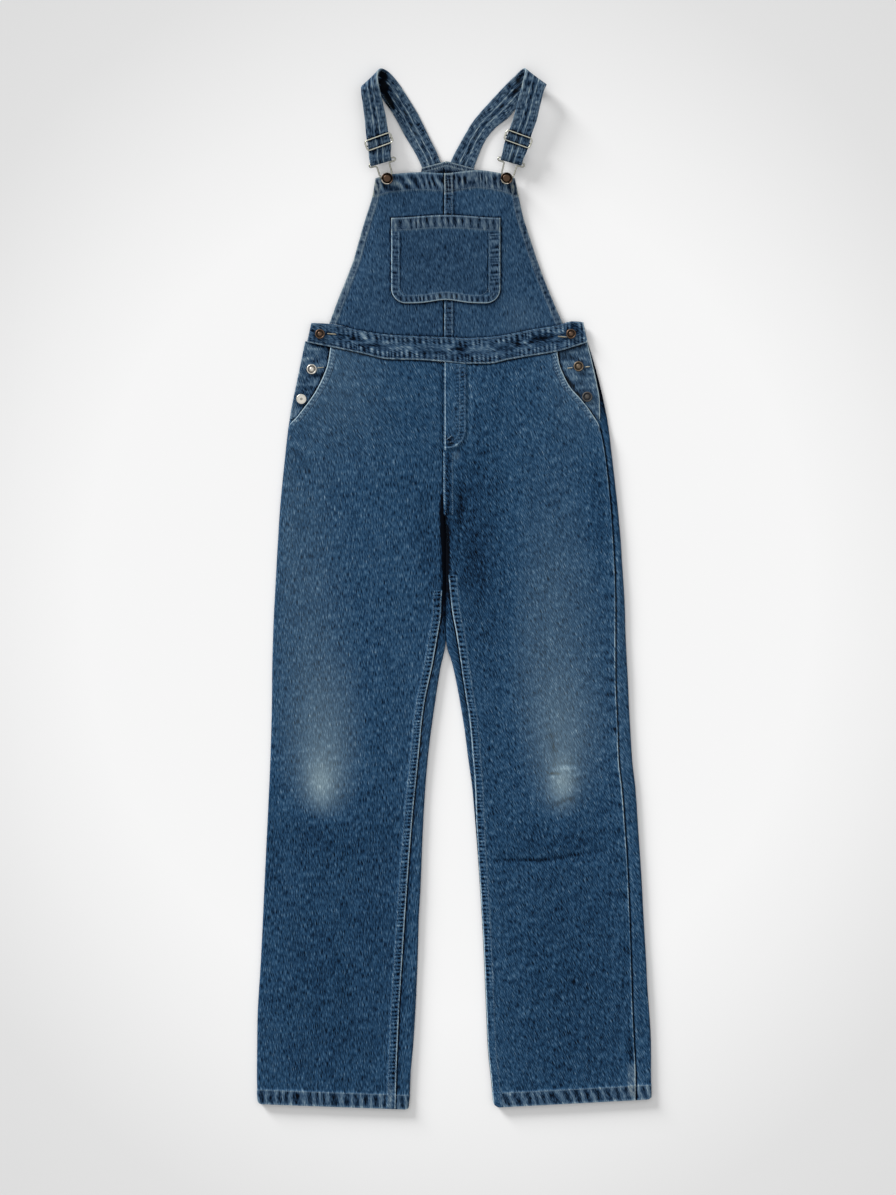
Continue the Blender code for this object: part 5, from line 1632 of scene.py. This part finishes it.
def hip_facing(side):
    """The strip under the pocket's edge, from its free edge to just under the front panel, with painted shade
    in its folds and along the edges that lie over it.
    """
    level = spaced((LEG_TOP, 1.7), (241, 1))[:, None]
    sign = -1 if side == "left" else 1
    edge = column(LEGS[side][0], 2, level) - sign * 12.0
    fold = column(LEGS[side][0], 1, level)
    free = fold + 0.6 if side == "left" else column(PLACKET, 1, level)
    near = np.array([0, 0.4, 1.0, 1.8])
    x = across(free, near, edge, np.array([0.0, 1.0]), 26)
    top = column(WAIST, LOWER, x) + 1.5
    y = level + ease((level - 280) / 70) * (top - LEG_TOP)
    off = np.abs(x - free)
    marks = Marks(x.shape)
    # the folds round the buttons: they bend the facing and get painted shade
    pull = np.zeros(x.shape)
    for bx, by in HIP_BUTTONS[side].values():
        for offset, reach in ((10.5, 1.0), (-10.5, 0.8)):
            wave = offset + 1.5 * cloud(x / 6, by, 92)
            pull += reach * line(y + 0.12 * sign * (x - bx), by + wave, 2.6) * line(x, bx, 12)
    mottle = cloud(x / 14, y / 4.6, 91)
    edge_wear, edge_half = (1.3, 0.8) if side == "right" else (0.3, 1.2)
    marks.add(
        bend=-0.3 * pull + 0.16 * mottle,
        wear=0.5 * held(mottle) + edge_wear * line(off, 0.5, edge_half),
        # painted shade in the folds, under the front panel's edge and under the waistband, and a darker
        # mottle
        shade=0.5 * pull + 0.3 * held(-mottle) + 1.1 * line(np.abs(x - edge), 11.0, 3.0)
        + 0.8 * line(top - y, 1.5, 2.4),
        fade=0.03 * (side == "right"),
        grey=0.08,
    )
    high = np.minimum(FACING_TOP + marks.bend - rounded(off, 0.5), FACING_TOP + 0.15)
    name = f"side_facing_{side}"
    laid(name, x, y, high, FACING_TOP - FACING, marks, f"hip_facing_{side}", DENIM)
    sew_down(name, off, 3.0)


for side in LEGS:
    hip_facing(side)

# %% [markdown]
# ## Straps
# Each strap goes from the buckle up under the slider, folds over at the shoulder and lies flat behind the
# bib. Its sections are given by both edges in three dimensions, so a twist comes by itself. Both faces
# show, because the strap turns over at the shoulder, so both get the puckers and the stitches.

# %% Sizes of the straps
STRAP = 2.3
STRAP_HALF = 15.4
WIRE = 2.1
BUCKLE_HEIGHT = 9.7
BUCKLE_REACH = 26.8
STRAP_RETURN = WIRE + 2 * SEAM_GAP + STRAP
SLIDER_SIZE = (40.5, 16.5)
STRAP_LINES = 3.9  # from the strap's middle to its two pale lines
STRAP_SEAM = 12.6  # from the middle to its stitches
# From the slider up over the fold and down to the yoke: the outer edge's x, y and z, then the inner edge's
LEFT_STRAP_FRONT = (
    (-120.8, 620.5, 12.9, -89.7, 628.4, 12.9),
    (-124.4, 638, 13.2, -93.2, 645.4, 13.2),
    (-127.2, 666, 14.8, -97.3, 671, 14.4),
    (-130.2, 689, 16.6, -102, 691, 16),
    (-132, 701, 17.2, -105.8, 708, 18),
    (-132.2, 707, 15.4, -108, 720, 19),
    (-131.6, 711, 11.2, -107.8, 731.5, 16.5),
    (-128.6, 711.4, 6.6, -104.4, 737.2, 11),
    (-122.4, 708.6, 3.4, -98.4, 736.6, 6),
    (-111, 704, 1.8, -88.6, 729.2, 2.9),
    (-103.8, 698.6, 1.4, -79.8, 718.6, 1.6),
    (-98.4, 690.4, 1.3, -72.4, 707.6, 1.3),
    (-90.6, 679.4, 1.3, -63.8, 694, 1.3),
    (-81.4, 664, 1.3, -54, 678, 1.3),
    (-70.2, 643, 1.5, -42.6, 655.6, 1.4),
    (-60.8, 627.4, 2, -34, 637.6, 1.9),
    (-51.2, 610, 2.7, -25, 619.2, 2.7),
    (-46.2, 598.4, 2.8, -20.4, 607.4, 2.8),
    (-41.6, 586, 2.8, -16.6, 596, 2.8),
)
RIGHT_STRAP_FRONT = (
    (104.4, 624.6, 12.9, 71.2, 633.2, 12.9),
    (108.8, 641.8, 13.2, 76.6, 647.6, 13.2),
    (116.4, 663.2, 14.8, 83.9, 668.8, 14.4),
    (122.2, 687.4, 16.6, 89.6, 690.2, 16),
    (127.2, 706.4, 17.6, 95.2, 711.4, 18),
    (129.6, 711.6, 16, 98.4, 725, 19),
    (130.2, 714, 11.4, 100.2, 734.4, 16.6),
    (127.6, 712.4, 6.6, 98.8, 737.6, 11),
    (121, 707.8, 3.4, 93.2, 734.8, 6),
    (106.4, 700.6, 1.9, 86.6, 728.4, 2.9),
    (96, 692.4, 1.4, 76.8, 719.4, 1.6),
    (86.6, 681.4, 1.3, 68.4, 710.8, 1.3),
    (78.4, 671, 1.3, 59.2, 701, 1.3),
    (69.4, 663.4, 1.3, 50.6, 691.6, 1.3),
    (60.8, 656.8, 1.3, 41.4, 681.6, 1.3),
    (52.6, 648.4, 1.3, 32.8, 671.6, 1.3),
    (46.4, 640.4, 1.4, 24, 660, 1.4),
    (40.2, 629.6, 1.6, 15.8, 646.2, 1.6),
    (35.4, 617.8, 2.1, 8.2, 632.6, 2.1),
    (30.6, 605.6, 2.7, 1.6, 620.4, 2.7),
    (27.2, 596.4, 2.8, -4.6, 607.8, 2.8),
    (20.6, 583.8, 2.8, -9.6, 596.4, 2.8),
)
# Its front rows, its side's sign, its slip along the buckle's bar, its button, the buckle's and slider's lean
STRAPS = {
    "left": (LEFT_STRAP_FRONT, -1, -1.7, (-95.3, 581.2), 16.5, 20.0),
    "right": (RIGHT_STRAP_FRONT, 1, 0.0, (73.9, 581.6), -15.5, -20.0),
}


def slider_middle(side):
    """Where a slider's middle is: halfway between the strap's first two sections."""
    rows = np.array(STRAPS[side][0][:2])
    return (rows[:, :3] + rows[:, 3:]).mean(0) / 2


def strap_rows(side):
    """Every section of a strap, from its free end behind the slider, round the buckle's bar, to the yoke."""
    front, sign, slip, place, lean, _ = STRAPS[side]
    front = np.array(front)
    turn = math.radians(lean)
    up = np.array([-math.sin(turn), math.cos(turn)])
    along_bar = np.array([math.cos(turn), math.sin(turn)])
    bar = np.array(place) + up * BUCKLE_REACH + along_bar * slip
    loop = STRAP_RETURN / 2
    end = front[0] + (front[1] - front[0]) * 0.45 - np.array([0, 0, STRAP_RETURN - 0.5] * 2)
    angle = np.radians([180, 150, 120, 90, 60, 30, 0])[:, None]
    middle = bar - up * loop * np.sin(angle)
    height = BUCKLE_HEIGHT + loop * np.cos(angle)
    half = along_bar * -sign * STRAP_HALF
    round_bar = np.concatenate([middle - half, height, middle + half, height], 1)
    return np.concatenate([end[None], round_bar, front])


# %% Make the straps
# Painted shade under the fold at each shoulder, and on the strap's end under the bib
STRAP_SHADOWS = {
    "left": (
        (-101.5, 733, -100.5, 711, 5.0, 1.9), (-100.5, 711, -90, 686, 4.5, 1.9),
        (-46, 592, -18, 600, 5.0, 0.8),
    ),
    "right": ((96, 733, 86, 706, 4.0, 0.9), (-8, 600, 26, 588, 5.0, 0.8)),
}
STRAP_CREASES = {
    "left": (
        (-90, 704, -80, 701.5, 2.2, 0.5), (-84, 713, -66, 704, 3.0, 0.3),
        (-60, 664, -44, 652, 4.0, -0.2),
    ),
    "right": ((66, 700, 84, 692, 3.2, 0.4), (60, 706, 78, 700, 3.0, -0.35), (84, 716, 98, 706, 3.5, 0.35)),
}


def strap_marks(side, middle, along, off, fold_at):
    """Two pale lines, puckers beside the stitches, the rubbed fold, and painted shade in its creases, beside
    the slider's wires and where it is covered.
    """
    seed = 101 if side == "left" else 104
    from_edge = STRAP_HALF - np.abs(off)
    ridge = roping(along, off / STRAP_HALF, 7.4, 0.25, seed, 0.7)
    belly = line(np.abs(off), 9.6, 3.6)
    crease = fold_height(middle[..., 0], middle[..., 1], STRAP_CREASES[side]) * (middle[..., 2] < 9)
    marks = Marks(off.shape)
    marks.add(
        bend=0.18 * ridge * belly + crease * 0.6,
        wear=0.2 * line(from_edge, 0.5, 1.2) + 0.62 * line(np.abs(off), STRAP_LINES, 0.7)
        + 0.16 * held(ridge) * belly + 0.2 * cloud(along / 3.4, off / 3, seed + 2),
        shade=0.5 * held(-ridge + 0.1) * belly + 0.42 * line(off, 0, 2.6),
        fade=0.06 * cloud(along / 12, off / 6, seed + 1),
        grey=0.15,
    )
    # painted shade in the creases' troughs
    marks.add(wear=0.5 * held(crease), shade=0.8 * held(-crease))
    folded = line(along, fold_at, 26) * (off > 0)
    marks.add(wear=0.55 * folded * line(from_edge, 1.0, 2.2))
    low = ease((12 - middle[..., 2]) / 4)
    px, py = middle[..., 0], middle[..., 1]
    slide_x, slide_y, _ = slider_middle(side)
    turn = math.radians(STRAPS[side][-1])
    beside = np.abs((py - slide_y) * math.cos(turn) - (px - slide_x) * math.sin(turn))
    beside = beside - (SLIDER_SIZE[1] - WIRE) / 2
    # painted shade in two lines along each of the slider's long wires
    marks.add(shade=0.9 * (1 - low) * (line(beside, 1.9, 1.0) + line(beside, -1.9, 1.0)))
    marks.add(shade=low * fold_height(px, py, STRAP_SHADOWS[side]))
    return marks


def strap(side):
    """A band along the strap's sections: its middle surface, and half its thickness to each side."""
    rows = strap_rows(side)
    reach = walked((rows[:, :3] + rows[:, 3:]) / 2)
    run = np.linspace(0, reach[-1], round(reach[-1] / 1.45))
    smooth = np.stack([cubic(reach, rows[:, k], np.gradient(rows[:, k], reach), run) for k in range(6)], 1)
    outer_edge, inner_edge = smooth[:, None, :3], smooth[:, None, 3:]
    over = inner_edge - outer_edge
    heading = np.gradient((outer_edge + inner_edge)[:, 0] / 2, run, axis=0)[:, None]
    normal = np.cross(over, heading) if side == "left" else np.cross(heading, over)
    normal /= np.linalg.norm(normal, axis=2, keepdims=True)
    near = np.array([0, 0.3, 0.8, 1.7, 2.9])
    inner = np.array([1.3, 2.6, 3.3, STRAP_LINES, 4.5, 5.2, 7.0, 8.8, 10.6])
    half = np.concatenate([inner, STRAP_HALF - near[::-1]])
    away = np.concatenate([-half[::-1], [0.0], half])
    share = (away / STRAP_HALF + 1)[None, :, None] / 2
    middle = outer_edge + over * share
    along, off = np.broadcast_arrays(run[:, None], away[None])
    marks = strap_marks(side, middle, along, off, reach[np.argmax(rows[:, 5])])
    thick = STRAP / 2 + marks.bend * 0.7 - rounded(STRAP_HALF - np.abs(off), 0.75)
    shift = normal * np.maximum(thick, 0.12)[..., None]
    faces = [middle + shift, middle - shift]
    for face in faces:
        face[..., 2] = np.maximum(face[..., 2], 0.05)
    name = f"strap_band_{side}"
    shell(name, *faces, stacked(off, along), marks, STRAP_DENIM, 0.0, "strap_denim", (f"strap_{side}",))
    up = np.broadcast_to(normal, middle.shape)
    for face, facing in ((faces[0], up), (faces[1], -up)):
        for place in (-STRAP_SEAM, STRAP_SEAM):
            sew_down(name, off, place, 3, -3, (face, facing))


for side in STRAPS:
    strap(side)

# %% [markdown]
# ## Metal
# The buckle is one bent wire: a bar for the strap, two round shoulders, a neck and an eye round the
# button. A poly curve with a round bevel gives the wire, and it is made a mesh so that it exports like
# the rest. The buttons are turned: a profile spun round an axis.

# %% Metal finishes
# the colour of the painted highlights on metal
GLEAM = linear(238, 230, 212)


def metal(name, high, low, rough, grain):
    """A metal that is bright where rubbed and dark with patina in its grooves, with painted shade and painted
    highlights from the same value, and fine scratches.
    """
    material, nodes = new_material(name)
    noise = nodes.noise(nodes.add("TexCoord").outputs["Object"], 3.0, scale=grain)
    dark = nodes.plus(nodes.math("MULTIPLY", nodes.read("patina_and_shading"), 0.9), noise, 0.35)
    colour = nodes.ramp(nodes.math("SUBTRACT", dark, 0.1), ((0.0, GLEAM), (0.05, high), (1.0, low)))
    scratches = nodes.bump(noise, 0.25, 0.0002)
    nodes.cover(colour, Roughness=nodes.plus(rough, noise, 0.25), Metallic=1.0, Normal=scratches)
    return material


STEEL = metal("polished_wire", linear(226, 226, 210), linear(14, 14, 13), 0.16, 900)
COPPER = metal("old_copper", linear(104, 84, 70), linear(13, 11, 10), 0.28, 700)
BRONZE = metal("dark_bronze", linear(84, 66, 54), linear(8, 7, 7), 0.3, 700)
DULL = metal("dull_metal", linear(100, 96, 92), linear(34, 40, 48), 0.6, 420)
BRASS = metal("dull_brass", linear(122, 108, 92), linear(20, 17, 15), 0.36, 700)
SILVER = metal("old_silver", linear(222, 218, 208), linear(46, 42, 40), 0.24, 800)

# %% Bend the wires


def wire(name, paths, stands_for, dim):
    """Round wires along paths of points in mm, each open or closed, as one mesh.

    Its darkness value is low on top and high on the flanks, a painted highlight on top and painted shade on
    the flanks, so that the wire has dark edges. Dim raises it all.
    """
    curve = bpy.data.curves.new(name, "CURVE")
    curve.dimensions = "3D"
    curve.bevel_depth = WIRE / 2 * MM
    curve.bevel_resolution = 4
    curve.use_fill_caps = True
    for points, closed in paths:
        spline = curve.splines.new("POLY")
        spline.points.add(len(points) - 1)
        flat = np.concatenate([np.asarray(points) * MM, np.ones((len(points), 1))], 1)
        spline.points.foreach_set("co", flat.astype(np.float32).ravel())
        spline.use_cyclic_u = closed
    holder = in_scene(name + "_path", curve)
    mesh = bpy.data.meshes.new_from_object(holder.evaluated_get(bpy.context.evaluated_depsgraph_get()))
    bpy.data.objects.remove(holder)
    points = np.empty(3 * len(mesh.vertices), np.float32)
    mesh.vertices.foreach_get("co", points)
    points = points.reshape(-1, 3).astype(float) / MM
    faces = [tuple(p.vertices) for p in mesh.polygons]
    bpy.data.meshes.remove(mesh)
    pieces[name] = mesh_object(name, points, faces, STEEL, (stands_for,))
    normals = np.empty(len(points) * 3, np.float32)
    pieces[name].data.vertices.foreach_get("normal", normals)
    # painted shading: light where the wire faces up, dark on its flanks
    write_value(pieces[name], "patina_and_shading", np.clip(1.1 + dim - 1.2 * normals[2::3], 0.1, 1))
    print(f"{name}: {len(faces)} faces")


def placed(points, origin, lean, height):
    """Points of a flat outline, turned by lean degrees about the origin and set at a height."""
    turn = math.radians(lean)
    x, y, z = np.asarray(points, float).T
    right = origin[0] + x * math.cos(turn) - y * math.sin(turn)
    up = origin[1] + x * math.sin(turn) + y * math.cos(turn)
    return np.stack([right, up, height + z], 1)


def arc(cx, cy, radius, start, stop, count):
    """Points on a circle from one angle to another, in degrees."""
    angles = np.radians(np.linspace(start, stop, count))
    return [(cx + radius * math.cos(a), cy + radius * math.sin(a), 0.0) for a in angles]


def softened(points):
    """A closed path with its corners cut off: each side keeps the places at a quarter and three quarters."""
    path = np.asarray(points, float)
    after = np.roll(path, -1, 0)
    return np.stack([path * 0.75 + after * 0.25, path * 0.25 + after * 0.75], 1).reshape(-1, 3)


# %% The buckles and the sliders
BUCKLE_EAR = (16.6, 2.5)
BUCKLE_NECK = 9.0
SLIDER_CORNER = 4.0
BIB_BUTTON = (8.5, 3.0, 3.0)  # radius, then the height of the cap and of the shank
WAIST_BUTTON = (7.0, 1.9, 0.7)
HIP_BUTTON = (7.2, 1.7, 0.6)
SHANK_SHARE = 0.42


def buckle(side):
    """One bent wire: half an outline from the neck to the bar, its mirror image, and the eye."""
    _, _, _, place, lean, _ = STRAPS[side]
    bar, (ear, radius), neck = BUCKLE_REACH, BUCKLE_EAR, BUCKLE_NECK
    shoulder = bar - 2 * radius
    eye = BIB_BUTTON[0] * SHANK_SHARE + WIRE / 2 + SEAM_GAP
    right = [(neck, 6.0, 0.0), (neck, shoulder - 2.4, 0.0), (neck + 0.8, shoulder - 0.8, 0.0)]
    right += [(neck + 2.6, shoulder, 0.0)] + arc(ear, bar - radius, radius, -90, 90, 12)
    left = [(-x, y, z) for x, y, z in reversed(right)]
    outline = softened(right + left + arc(0, 0, eye, 190, 350, 15))
    wire(f"buckle_wire_{side}", [(placed(outline, place, lean, BUCKLE_HEIGHT), True)], f"buckle_{side}", 0.5)


def slider(side):
    """A rectangle with round corners above the strap, and a bar that dips under it."""
    middle, lean = slider_middle(side), STRAPS[side][-1]
    half_x, half_y = (s / 2 - WIRE / 2 for s in SLIDER_SIZE)
    corner_x, corner_y = half_x - SLIDER_CORNER, half_y - SLIDER_CORNER
    outline = []
    for sx, sy, start in ((1, 1, 0), (-1, 1, 90), (-1, -1, 180), (1, -1, 270)):
        outline += arc(sx * corner_x, sy * corner_y, SLIDER_CORNER, start, start + 90, 9)
    above = STRAP / 2 + SEAM_GAP + WIRE / 2
    level = middle[2] + above
    dip = -2 * above
    bar = [(-half_x, 0, 0), (-half_x, 0, dip + 1.2), (-half_x + 1.2, 0, dip)]
    bar += [(-x, y, z) for x, y, z in reversed(bar)]
    paths = [(placed(outline, middle, lean, level), True), (placed(bar, middle, lean, level), False)]
    wire(f"slider_wire_{side}", paths, f"slider_{side}", 0.3)


for side in STRAPS:
    buckle(side)
    slider(side)

# %% Turn the buttons
GLINT = math.radians(-118)  # the side of a domed rim that gets a painted highlight


def turned(name, place, base, profile, finish, slot_name, stands_for, glint=0.0, steps=56):
    """A profile of (radius, height, patina darkness) spun round an upright axis. The axis points stay single,
    and a glint paints a highlight on one side of the rim.
    """
    radius, height, patina_and_shading = np.asarray(profile, float).T
    angle = np.arange(steps) * 2 * math.pi / steps
    ring_x = radius[1:-1, None] * np.cos(angle) + place[0]
    ring_y = radius[1:-1, None] * np.sin(angle) + place[1]
    ring_z = np.broadcast_to(height[1:-1, None] + base, ring_x.shape)
    body = stacked(ring_x, ring_y, ring_z).reshape(-1, 3)
    ends = [(*place, base + height[0]), (*place, base + height[-1])]
    points = np.concatenate([body, ends])
    index = np.arange(len(body)).reshape(-1, steps)
    after = np.roll(index, -1, 1)
    quads = stacked(index[:-1], after[:-1], after[1:], index[1:]).reshape(-1, 4).tolist()
    first, last = len(body), len(body) + 1
    caps = [(first, b, a) for a, b in zip(index[0].tolist(), after[0].tolist())]
    caps += [(last, a, b) for a, b in zip(index[-1].tolist(), after[-1].tolist())]
    pieces[name] = mesh_object(name, points, quads + caps, finish, (stands_for,))
    # a painted highlight on the rim's side towards GLINT
    bright = held((np.cos(angle - GLINT) - 0.6) / 0.3) * (radius[1:-1, None] > 0.8 * radius.max())
    shine = patina_and_shading[1:-1, None] - glint * bright
    write_value(pieces[name], "patina_and_shading", np.concatenate([shine.ravel(), patina_and_shading[[0, -1]]]))


def cap_profile(radius, cap, shank, crown):
    """A button's half section: shank, rolled rim, and the given rows of its crown with its grooves."""
    rows = [
        (0.0, 0.0, 1.0),
        (radius * SHANK_SHARE, 0.0, 1.0),
        (radius * SHANK_SHARE, shank, 1.0),
        (radius - 0.5, shank, 0.9),
        (radius - 0.12, shank + 0.3, 0.6),
        (radius, shank + 0.8, 0.3),
    ]
    return rows + [(radius * r, shank + cap * z, g) for r, z, g in crown]


# radius and height as shares of the cap's, and the darkness of patina in the grooves
RINGED = (
    (0.98, 0.75, 0.2), (0.93, 0.95, 0.1), (0.87, 1, 0.1), (0.8, 0.95, 0.3), (0.74, 0.75, 0.9),
    (0.66, 0.62, 1), (0.5, 0.6, 0.7), (0.42, 0.66, 0.6), (0.36, 0.9, 0.3), (0.28, 0.98, 0.1),
    (0, 1, 0.1),
)
STUDDED = (
    (0.985, 0.62, 0.15), (0.95, 0.86, 0.05), (0.91, 0.94, 0.1), (0.87, 0.88, 0.6), (0.83, 0.7, 1),
    (0.74, 0.62, 1), (0.66, 0.64, 1), (0.61, 0.78, 0.7), (0.57, 0.92, 0.15), (0.48, 0.98, 0.05),
    (0.3, 1, 0.05), (0.15, 1, 0.05), (0, 1, 0.05),
)
FLAT = (
    (0.98, 0.75, 0.2), (0.93, 0.93, 0.05), (0.87, 0.96, 0.1), (0.83, 0.9, 0.35), (0.78, 0.88, 0.1),
    (0.3, 0.94, 0.05), (0.24, 0.92, 0.35), (0.2, 0.84, 0.9), (0.12, 0.84, 0.7), (0.08, 0.9, 0.4),
    (0, 0.9, 0.4),
)
WAIST_BUTTONS = {"left": (-190.6, 361.5), "right": (165.4, 361.6)}

# Finish and slot of each hip button
HIP_FINISHES = {
    ("left", "upper"): (SILVER, "silver_button"),
    ("left", "lower"): (SILVER, "silver_button"),
    ("right", "upper"): (BRASS, "copper_button"),
    ("right", "lower"): (DULL, "copper_button"),
}

for side, (_, _, _, bib_place, _, _) in STRAPS.items():
    turned(
        f"bib_stud_{side}", bib_place, BIB_TOP_BASE + CLOTH + 0.8 + SEAM_GAP,
        cap_profile(*BIB_BUTTON, STUDDED), BRONZE, "copper_button", f"button_bib_{side}", 1.2,
    )
    turned(
        f"waist_stud_{side}", WAIST_BUTTONS[side], FRONT_LAYER + WAISTBAND + SEAM_GAP + 0.12,
        cap_profile(*WAIST_BUTTON, RINGED), COPPER, "copper_button", f"button_waist_{side}",
    )
    for row, place in HIP_BUTTONS[side].items():
        crown = FLAT if (side, row) == ("left", "lower") else RINGED
        turned(
            f"hip_stud_{row}_{side}", place, FACING_TOP + SEAM_GAP,
            cap_profile(*HIP_BUTTON, crown), *HIP_FINISHES[side, row], f"button_hip_{row}_{side}",
        )
print("buttons:", sum(name.count("stud") for name in pieces))

# %% [markdown]
# ## Thread
# Now every seam line gets its stitches. The bars at the fly's foot, at the pocket's ends and at the
# buttonholes are satin stitches: short threads laid side by side across the bar.

# %% Thread material and satin bars


def thread(name, colour):
    """Cotton thread: one colour with soft noise."""
    material, nodes = new_material(name)
    noise = nodes.noise(nodes.add("TexCoord").outputs["Object"], 2.0, 0.5, 90.0)
    dark = tuple(c * 0.45 for c in colour[:3]) + (1.0,)
    nodes.cover(nodes.ramp(noise, ((0.25, dark), (0.75, colour))), Roughness=0.8, Specular_IOR_Level=0.2)
    return material


THREAD = thread("blue_thread", linear(98, 120, 140))
TAN_THREAD = thread("cream_thread", linear(182, 176, 156))
# piece, middle x, y and z, length, width, angle in degrees, tan or not
BARS = (
    ("mock_fly", -7.5, 214.5, 7.9, 9.0, 1.8, 38, False),
    ("leg_front_left", -233.5, 214.5, 6.6, 7.0, 2.4, 74, False),
    ("leg_front_right", 205.0, 226.0, 6.6, 7.0, 2.2, -74, False),
    ("waistband", -174.0, 361.6, 7.9, 12.5, 2.2, -4, True),
    ("waistband", 153.0, 357.6, 7.9, 13.0, 2.2, -5, True),
    ("side_facing_left", -190.0, 314.0, 4.75, 9.0, 1.8, 4, True),
    ("side_facing_right", 163.8, 313.6, 4.75, 7.5, 2.0, 6, True),
    ("side_facing_right", 188.6, 315.2, 4.75, 7.0, 2.0, 6, True),
)


def satin(x, y, z, length, width, angle):
    """Paths of the threads across a bar, each arched over it."""
    turn = math.radians(angle)
    along = np.array([math.cos(turn), math.sin(turn), 0])
    over = np.array([-math.sin(turn), math.cos(turn), 0])
    count = round(length / 0.55)
    paths = []
    for k in range(count):
        s = (k + 0.5) / count * 2 - 1
        reach = width / 2 * (1 - 0.35 * s * s)
        middle = np.array([x, y, z]) + along * s * length / 2
        paths.append((np.array([middle - over * reach, middle + over * reach]), np.array([[0, 0, 1.0]] * 2)))
    return paths


# %% Sew everything


def stitches(name, lines, finish):
    """One mesh with the stitches of all the lines."""
    points = np.concatenate([stitch_rings(*path) for path in lines])
    pieces[name] = mesh_object(name, points.reshape(-1, 3), stitch_faces(len(points)), finish)
    return len(points)


total = 0
for name, lines in SEAM_LINES.items():
    plain = lines + [p for bar in BARS if bar[0] == name and not bar[-1] for p in satin(*bar[1:-1])]
    total += stitches(f"stitches_{name}", plain, THREAD)
tan = [path for bar in BARS if bar[-1] for path in satin(*bar[1:-1])]
total += stitches("buttonhole_bars", tan, TAN_THREAD)
print("stitches:", total)

# %% [markdown]


# %% [markdown]
# ## Surface, light and camera
# The garment lies on a pale surface, painted a little darker away from the middle as a falloff of light. A
# wide soft light from the upper left, low enough to model the puckers, and a sky that fills the shadows.
# The sky is bright above and grey towards the horizon, so that round metal has dark edges. The camera
# looks straight down.

# %% Surface and light
# distance from the middle and brightness, a painted falloff of light
FLOOR_PAINTED_FALLOFF = ((0.54, 0.81), (0.66, 0.765), (0.75, 0.72), (0.86, 0.665), (1.0, 0.64))
FLOOR_HALF, FLOOR_HEIGHT = 3.0, -0.0003  # metres


def grey_tone(value):
    """A neutral colour."""
    return (value, value, value, 1)


def surface():
    """A wide pale plane just under the cloth, painted a little darker away from the middle as a falloff of
    light.
    """
    material, nodes = new_material("pale_surface")
    place = nodes.add("TexCoord").outputs["Object"]
    oval = {"Vector": place, "Location": (0.009, 0.011, 0.0), "Scale": (1.045, 0.909, 1.0)}
    centred = nodes.add("Mapping", oval).outputs[0]
    away = nodes.add("VectorMath", {0: centred}, operation="LENGTH").outputs["Value"]
    shade = nodes.ramp(away, [(at, grey_tone(tone)) for at, tone in FLOOR_PAINTED_FALLOFF])
    nodes.cover(shade, Roughness=0.9, Specular_IOR_Level=0.0)
    mesh = bpy.data.meshes.new("surface")
    signs = ((-1, -1), (1, -1), (1, 1), (-1, 1))
    corners = [(x * FLOOR_HALF, y * FLOOR_HALF, FLOOR_HEIGHT) for x, y in signs]
    mesh.from_pydata(corners, [], [(0, 1, 2, 3)])
    mesh.materials.append(material)
    in_scene("surface", mesh)


SUN_PLACE = (-2.0, 2.27, 0.81)  # the light shines from here towards the middle
SUN_WIDTH = 19.0  # degrees across the sky, which makes the shadows soft
SUN_POWER = 4.95  # watts on each square metre


def soft_light():
    """A sun that shines from its place towards the middle."""
    data = bpy.data.lights.new("soft_light", "SUN")
    data.energy = SUN_POWER
    data.angle = math.radians(SUN_WIDTH)
    lamp = in_scene("soft_light", data)
    x, y, z = lamp.location = SUN_PLACE
    lamp.rotation_euler = (math.atan2(math.hypot(x, y), z), 0, math.atan2(-x, y) + math.pi)


def sky():
    """Grey at the horizon, lighter with the height of the direction."""
    world = bpy.data.worlds.new("sky")
    world.use_nodes = True
    nodes = Nodes(world.node_tree)
    direction = nodes.add("TexCoord").outputs["Generated"]
    height = nodes.add("SeparateXYZ", {0: direction}).outputs["Z"]
    shade = nodes.ramp(height, ((0.0, grey_tone(0.1)), (0.9, grey_tone(0.7))))
    light = nodes.add("Background", {"Color": shade, "Strength": 1.36}).outputs[0]
    nodes.add("OutputWorld", {"Surface": light})
    bpy.context.scene.world = world


surface()
soft_light()
sky()

# %% Camera
VIEW_HEIGHT = 1.6969  # metres of the surface from the bottom of the view to its top
camera_data = bpy.data.cameras.new("camera")
camera_data.lens = 100.0
camera_data.sensor_width = 36.0
camera = in_scene("camera", camera_data)
camera.location = (-0.0091, -0.0121, VIEW_HEIGHT * 100.0 / 36.0)
bpy.context.scene.camera = camera
bpy.context.scene.view_settings.view_transform = "Standard"
